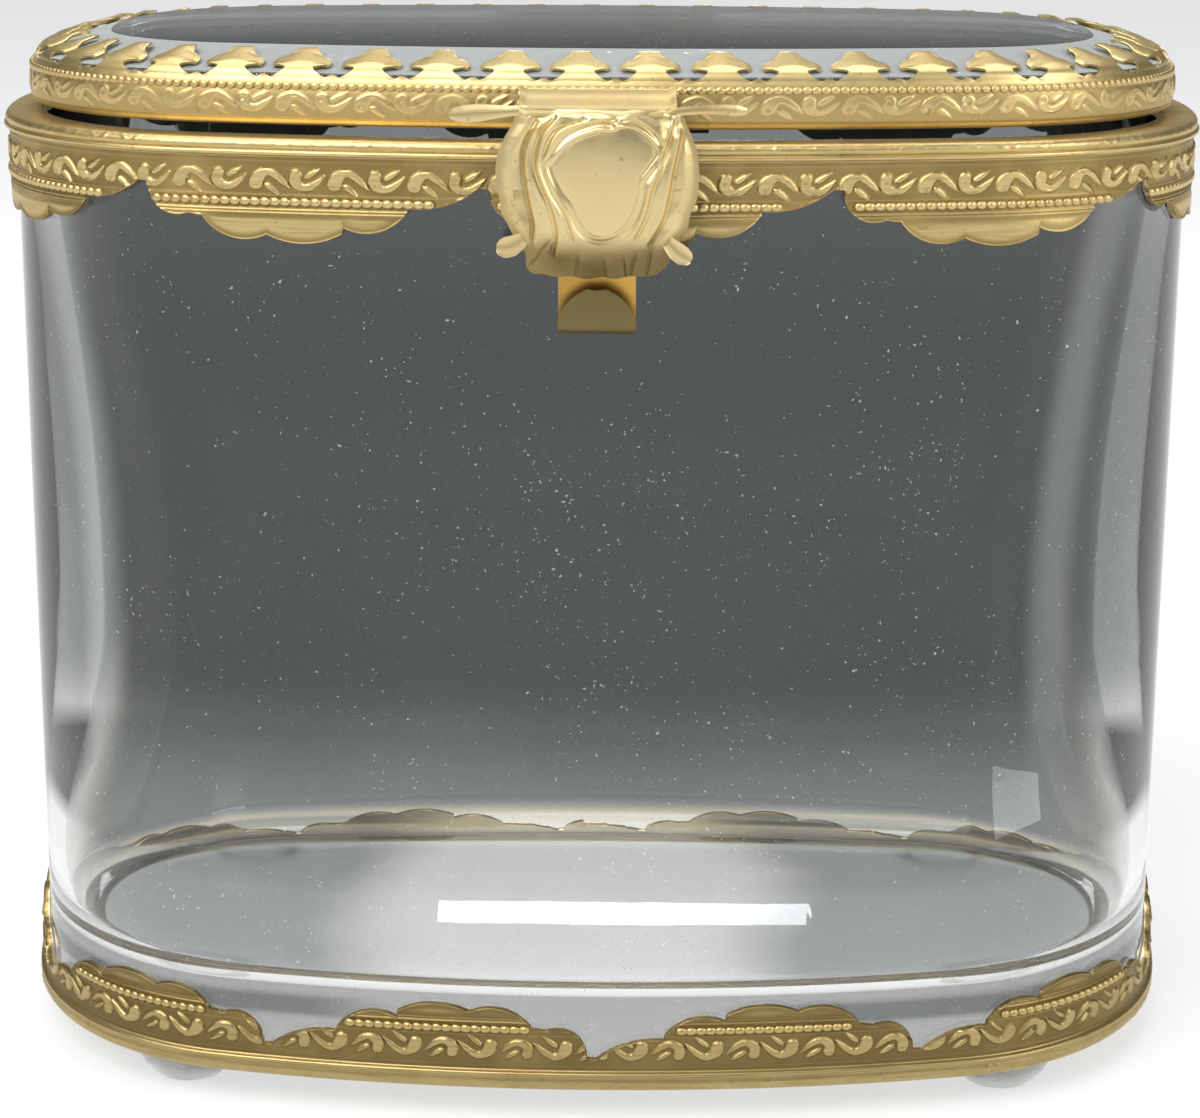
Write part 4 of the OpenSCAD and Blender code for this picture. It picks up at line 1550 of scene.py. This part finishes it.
    def blade(self, line: Sequence[tuple], fold: float, dish: float) -> bmesh.types.BMesh:
        """A leaf or a curl.

        Args:
            line: X, Z, half width and Y forward of the shield's face along its middle.
            fold: Height of its middle over its edges.
            dish: Height of its rolled rim.

        Returns:
            Its closed mesh.
        """
        sheet = Sheet(14, 30)
        path = np.array(line)
        at = np.linspace(0, 1, len(path))
        run, across, step = sheet.run, sheet.across, 0.02
        x, z, wide, ahead = (np.interp(run, at, column) for column in path.T)
        dx, dz = (np.interp(run + step, at, column) - np.interp(run - step, at, column)
                  for column in path.T[:2])
        long = np.hypot(dx, dz) + 1e-9
        x, z = x - dz / long * across * wide, z + dx / long * across * wide
        lift = fold * (1 - across**2) + dish * np.abs(across) ** 3
        points = rows_of(x, self.surface(x, z) - ahead - lift, z + self.middle)
        # Painted highlight: the rolled edges of leaves and curls are lighter.
        paint = np.clip(0.35 + np.abs(across) * 0.5, 0, 1)
        return backed(sheet.bend(points, paint, rows_of(run, across)), self.blade_t)

    def knuckle(self, left: float, right: float, way: int) -> bmesh.types.BMesh:
        """A length of sheet rolled round the pin.

        Args:
            left: X of its left end.
            right: X of its right end.
            way: 1 where it comes from the lid, -1 where it comes from the shield.

        Returns:
            Its closed mesh.
        """
        y, z = self.axis
        turns, radii = np.radians(np.linspace(0, 300, 31)), np.linspace(0.78, 0.66, 31)
        roll = [(y + way * r * math.cos(a), z + r * math.sin(a)) for r, a in zip(radii, turns)]
        if way > 0:
            lead = [(-40.60, 109.3), (-40.66, 109.9), (-40.82, 110.4), (y + 0.83, z - 0.25)]
        else:
            lead = [(-46.3, 109.0), (-46.0, 109.6), (-45.2, 110.0), (-43.9, 110.3),
                    (y - 0.9, 110.6)]
        path = np.array(lead + roll)
        sheet = Sheet(24, len(path) - 1)
        x = left + (right - left) * sheet.share
        points = rows_of(x, *path[sheet.row].T)
        bm = sheet.bend(points, np.full(x.shape, 0.8), rows_of(x / 10, sheet.row / 30))
        return lined(bm, self.roll_t, above=z + 0.6)

    def shelf(self) -> bmesh.types.BMesh:
        """Top of the shield folded back before the lid's ears, curled up at its ends.

        Returns:
            Its closed mesh.
        """
        path = np.array([(-46.3, 109.3), (-46.2, 109.75), (-45.9, 110.1), (-45.3, 110.38),
                         (-44.6, 110.64), (-43.9, 110.92), (-43.35, 111.2), (-43.0, 111.48),
                         (-42.75, 111.72)])
        sheet = Sheet(60, len(path) - 1)
        across = sheet.across
        end = smoothstep((np.abs(across) - 0.90) / 0.10)
        y, z = path[sheet.row].T
        points = rows_of(7.75 * across, y + 0.25 * end, z + 0.35 * end)
        uv = rows_of(across, sheet.row / 30)
        return lined(sheet.bend(points, np.full(across.shape, 0.3), uv), self.roll_t)

    def plate(self) -> bmesh.types.BMesh:
        """Strip soldered to the lid's band, from which the ears are rolled.

        Returns:
            Its closed mesh.
        """
        sheet = Sheet(40, 6)
        x, z = sheet.across * self.ear[1], 108.45 + 1.35 * sheet.row / 6
        y = -40.72 + x * x / 410.0
        return sheet.bend(rows_of(x, y, z), np.full(x.shape, 0.7), rows_of(x, z) / 10, 0.3)

    def tongue(self) -> bmesh.types.BMesh:
        """Spring tongue: down behind the shield, round its bend, up to the half-round lip.

        Returns:
            Its closed mesh.
        """
        back_y, low, bend, width, lip = -44.55, 88.1, 1.0, 3.9, 4.2
        back = [(back_y, z) for z in (107.9, 103.0, 100.4, 99.0, 97.6, 94.0, 91.0, low + bend)]
        turn = [(back_y - bend * (1 - math.cos(a)), low + bend - bend * math.sin(a))
                for a in np.radians(np.arange(15, 180, 15))]
        front = [(back_y - 2 * bend - 0.02 * i, low + bend + (lip - bend) * (i / 14))
                 for i in range(15)]
        path = np.array(back + turn + front)
        sheet = Sheet(28, len(path) - 1)
        y, z = path[sheet.row].T
        radius = (width**2 + lip**2) / (2 * lip)
        round_w = np.sqrt(np.clip(radius**2 - (z - low - lip + radius) ** 2, 0, None))
        first = len(back) + len(turn)
        narrow = np.minimum(width, np.maximum(round_w, 0.9))
        half = np.where(sheet.row >= first, narrow, width)
        shown = sheet.row >= first - 3
        paint = np.where(shown, RIDGE_PAINT, 0.05)
        y = np.where(shown, y - 0.10 * (1 - sheet.across**2), y)
        uv = rows_of(z, sheet.across) / 10
        return sheet.bend(rows_of(sheet.across * half, y, z), paint, uv, 0.5)

    def build(self, shop: Workshop) -> None:
        """Model the whole clasp.

        Args:
            shop: Takes the finished pieces.
        """
        inner, outer = self.ear
        shield = [self.shield(), *(self.blade(*blade) for blade in self.blades),
                  self.knuckle(-4.05, 4.05, -1), self.shelf()]
        shop.gilt(joined(shield), "shield", GILT_SHIELD, Body.CLASP,
                  replaces=("clasp_shield",), crease=55.0)
        shop.gilt(self.tongue(), "spring_tongue", GILT_TONGUE, Body.CLASP,
                  replaces=("clasp_tongue",), crease=40.0)
        ears = [self.knuckle(-outer, -inner, 1), self.knuckle(inner, outer, 1), self.plate()]
        shop.gilt(joined(ears), "lid_ears", GILT_PRONG, Body.LID, replaces=("clasp_hinge_strip",))


# ---------------------------------------------------------------------- stage


@dataclass(frozen=True)
class Lamp:
    """A soft rectangular lamp, in metres and watts, that faces the middle of the box."""

    name: str
    at: tuple
    size: tuple
    power: float

    def build(self) -> None:
        """Hang the lamp."""
        data = bpy.data.lights.new(self.name, "AREA")
        data.shape = "RECTANGLE"
        data.size, data.size_y = self.size
        data.energy = self.power
        made = bpy.data.objects.new(self.name, data)
        here = Vector(self.at)
        made.location = here
        middle = Vector((0, 0, 0.06))
        made.rotation_euler = (middle - here).to_track_quat("-Z", "Y").to_euler()
        bpy.context.scene.collection.objects.link(made)


@dataclass(frozen=True)
class Studio:
    """Camera, lamps, floor and background."""

    focal: float = 80.15
    sensor: float = 36.0
    pitch: float = 0.2276
    roll: float = 0.0058
    yaw: float = -0.0087
    eye: tuple = (0.0, -308.56, 138.59)
    shift_y: float = -0.1075
    room: tuple = ((0.0, (0.98, 0.985, 0.99)), (0.02, (0.98, 0.985, 0.99)),
                   (0.09, (0.075, 0.08, 0.08)), (0.40, (0.12, 0.125, 0.13)),
                   (1.0, (0.34, 0.35, 0.36)))
    fill: tuple = (0.92, 0.94, 1.0)
    fill_power: float = 0.45
    floor_tones: tuple = ((0.86, 0.865, 0.87), (0.89, 0.89, 0.89))
    floor_shown: float = 0.6
    lamps: tuple = (
        Lamp("key", (-0.40, -0.50, 0.80), (0.8, 0.8), 9.5),
        Lamp("fill", (0.70, -0.45, 0.50), (0.4, 0.6), 3.2),
        Lamp("back", (0.0, 0.40, 1.05), (1.0, 0.35), 5.0),
        Lamp("window", (0.004, 0.70, 0.343), (0.142, 0.046), 0.34),
    )

    def camera(self) -> None:
        """Camera in front, a little above the lid."""
        data = bpy.data.cameras.new("camera")
        data.lens, data.sensor_width, data.shift_y = self.focal, self.sensor, self.shift_y
        data.clip_start, data.clip_end = 0.01, 10.0
        eye = bpy.data.objects.new("camera", data)
        eye.matrix_world = (
            Matrix.Rotation(-self.yaw, 4, "Z")
            @ Matrix.Translation(Vector(self.eye) * MM)
            @ Matrix.Rotation(math.pi / 2 - self.pitch, 4, "X")
            @ Matrix.Rotation(self.roll, 4, "Z")
        )
        bpy.context.scene.collection.objects.link(eye)
        bpy.context.scene.camera = eye

    def world(self) -> None:
        """Pale background up to the horizon under a darker room, and an even fill."""
        world = bpy.data.worlds.new("studio")
        world.use_nodes = True
        graph = Graph(world.node_tree)
        out = graph.tree.nodes.new("ShaderNodeOutputWorld")
        spot = graph.node("ShaderNodeTexCoord", {}, {}, "Generated")
        level = graph.node("ShaderNodeSeparateXYZ", {}, {0: spot}, "Z")
        room = graph.node("ShaderNodeValToRGB", {"stops": self.room}, {0: level})
        shown = graph.node("ShaderNodeBackground", {}, {0: room})
        fill = graph.node("ShaderNodeBackground", {}, {0: self.fill, 1: self.fill_power})
        graph.plug(out.inputs[0], graph.blend(graph.seen(1.0, 1.0), fill, shown))
        bpy.context.scene.world = world

    def floor(self) -> None:
        """Pale floor that keeps the box's shadow."""
        bm = bmesh.new()
        bmesh.ops.create_grid(bm, x_segments=1, y_segments=1, size=3.0)
        mesh = bpy.data.meshes.new("floor")
        bm.to_mesh(mesh)
        bm.free()
        shade = Shade("pale_floor")
        tone = shade.noise(shade.place(), 3.0, 2.0)
        shade.set(Base_Color=shade.mix(tone, *self.floor_tones), Roughness=0.85)
        glow = shade.node("ShaderNodeEmission", {}, {0: (1.0, 1.0, 1.0)})
        shade.show(shade.blend(shade.seen(self.floor_shown, 1.0), shade.body, glow))
        mesh.materials.append(shade.material)
        made = bpy.data.objects.new("floor", mesh)
        bpy.context.scene.collection.objects.link(made)

    def build(self) -> None:
        """Set up the whole stage."""
        self.camera()
        self.world()
        for lamp in self.lamps:
            lamp.build()
        self.floor()
        bpy.context.scene.view_settings.view_transform = "Standard"


# ------------------------------------------------------------- finishes in use


GILT_STRIP = GiltFinish("gilt_strip", strokes=0.5, painted=True)
GILT_BEAD = GiltFinish("gilt_bead", high=(0.74, 0.58, 0.28), low=(0.60, 0.45, 0.20), rough=0.36)
# Darker copies of the strip's and beads' gilt, as painted shade: the foot band faces down.
GILT_FOOT_PAINTED_SHADE = GiltFinish(
    "gilt_foot_strip_painted_shade", high=(0.50, 0.385, 0.17), low=(0.22, 0.16, 0.06),
    patch=(0.36, 0.26, 0.105), strokes=0.5, painted=True)
GILT_FOOT_BEAD_PAINTED_SHADE = GiltFinish("gilt_foot_bead_painted_shade", high=(0.58, 0.45, 0.20), low=(0.44, 0.33, 0.13))
GILT_LID = GiltFinish(
    "gilt_lid_band", high=(0.74, 0.57, 0.26), low=(0.40, 0.30, 0.12), painted=True)
GILT_LID_BEAD = GiltFinish(
    "gilt_lid_bead", high=(0.72, 0.56, 0.27), low=(0.58, 0.44, 0.19), rough=0.40)
GILT_PRONG = GiltFinish("gilt_prong", high=(0.76, 0.60, 0.28), low=(0.60, 0.46, 0.20), rough=0.34)
# Light high colour as painted light on the boss, dark low colour as painted shade in the hollows
# and low down.
GILT_SHIELD = GiltFinish(
    "gilt_shield", high=(0.82, 0.66, 0.34), low=(0.24, 0.18, 0.075), rough=0.36, painted=True)
GILT_TONGUE = GiltFinish(
    "gilt_tongue", high=(0.20, 0.158, 0.066), low=(0.70, 0.41, 0.09), patch=(0.26, 0.19, 0.08),
    rough=0.46, rough_low=0.30, painted=True)
GILT_PLAIN = GiltFinish("gilt_plain", rough=0.36)
GLASS = GlassFinish(
    "moulded_glass", clear=(0.965, 0.975, 0.97), painted_shade=PaintedShade(), wave=0.12, dust=0.33,
    ground=(-0.001, 0.0047), ground_rough=0.85)
# Clear glass with a slight green tint; its darkness is painted shade for the dark room seen
# through it.
LID_GLASS = GlassFinish(
    "lid_glass", clear=(0.52, 0.59, 0.565), haze=0.05, dust=0.8, ground=(0.11258, 0.11476),
    frost=0.32)
RUBBER = GlassFinish(
    "clear_rubber", clear=(0.97, 0.975, 0.965), rough=0.05, ior=1.45, ground=(-1.0, 1.0),
    ground_rough=0.03)

COLLAR = StampedStrip(
    "collar_strip", "collar_band", ridge_z=104.9, way=1, phase=-11.4, shift=0.0,
    gilt=GILT_STRIP, bead_gilt=GILT_BEAD, turn=RIM_TURN)
BASE = StampedStrip(
    "base_strip", "base_band", ridge_z=5.5, way=-1, phase=-0.15, shift=1.5, gilt=GILT_FOOT_PAINTED_SHADE,
    bead_gilt=GILT_FOOT_BEAD_PAINTED_SHADE, turn=FOOT_TURN, scroll_from=(3.0, 3.0), blank=(900.0, 901.0))


def main() -> None:
    """Build the casket on its stage."""
    logging.basicConfig(level=logging.INFO, format="%(name)s: %(message)s")
    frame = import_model()
    shop = Workshop()
    Studio().build()
    for part in (COLLAR, BASE, GlassBody(), LidGlass(), LidBezel(), Clasp()):
        part.build(shop)
    for node in ("body_hinge_leaf", "lid_hinge_leaf", "hinge_pin", "clasp_pin", "catch_stud"):
        shop.dress(frame, node, GILT_PLAIN)
    for end in ("front_left", "front_right", "back_left", "back_right"):
        shop.dress(frame, "foot_" + end, RUBBER)


if __name__ == "__main__":
    main()
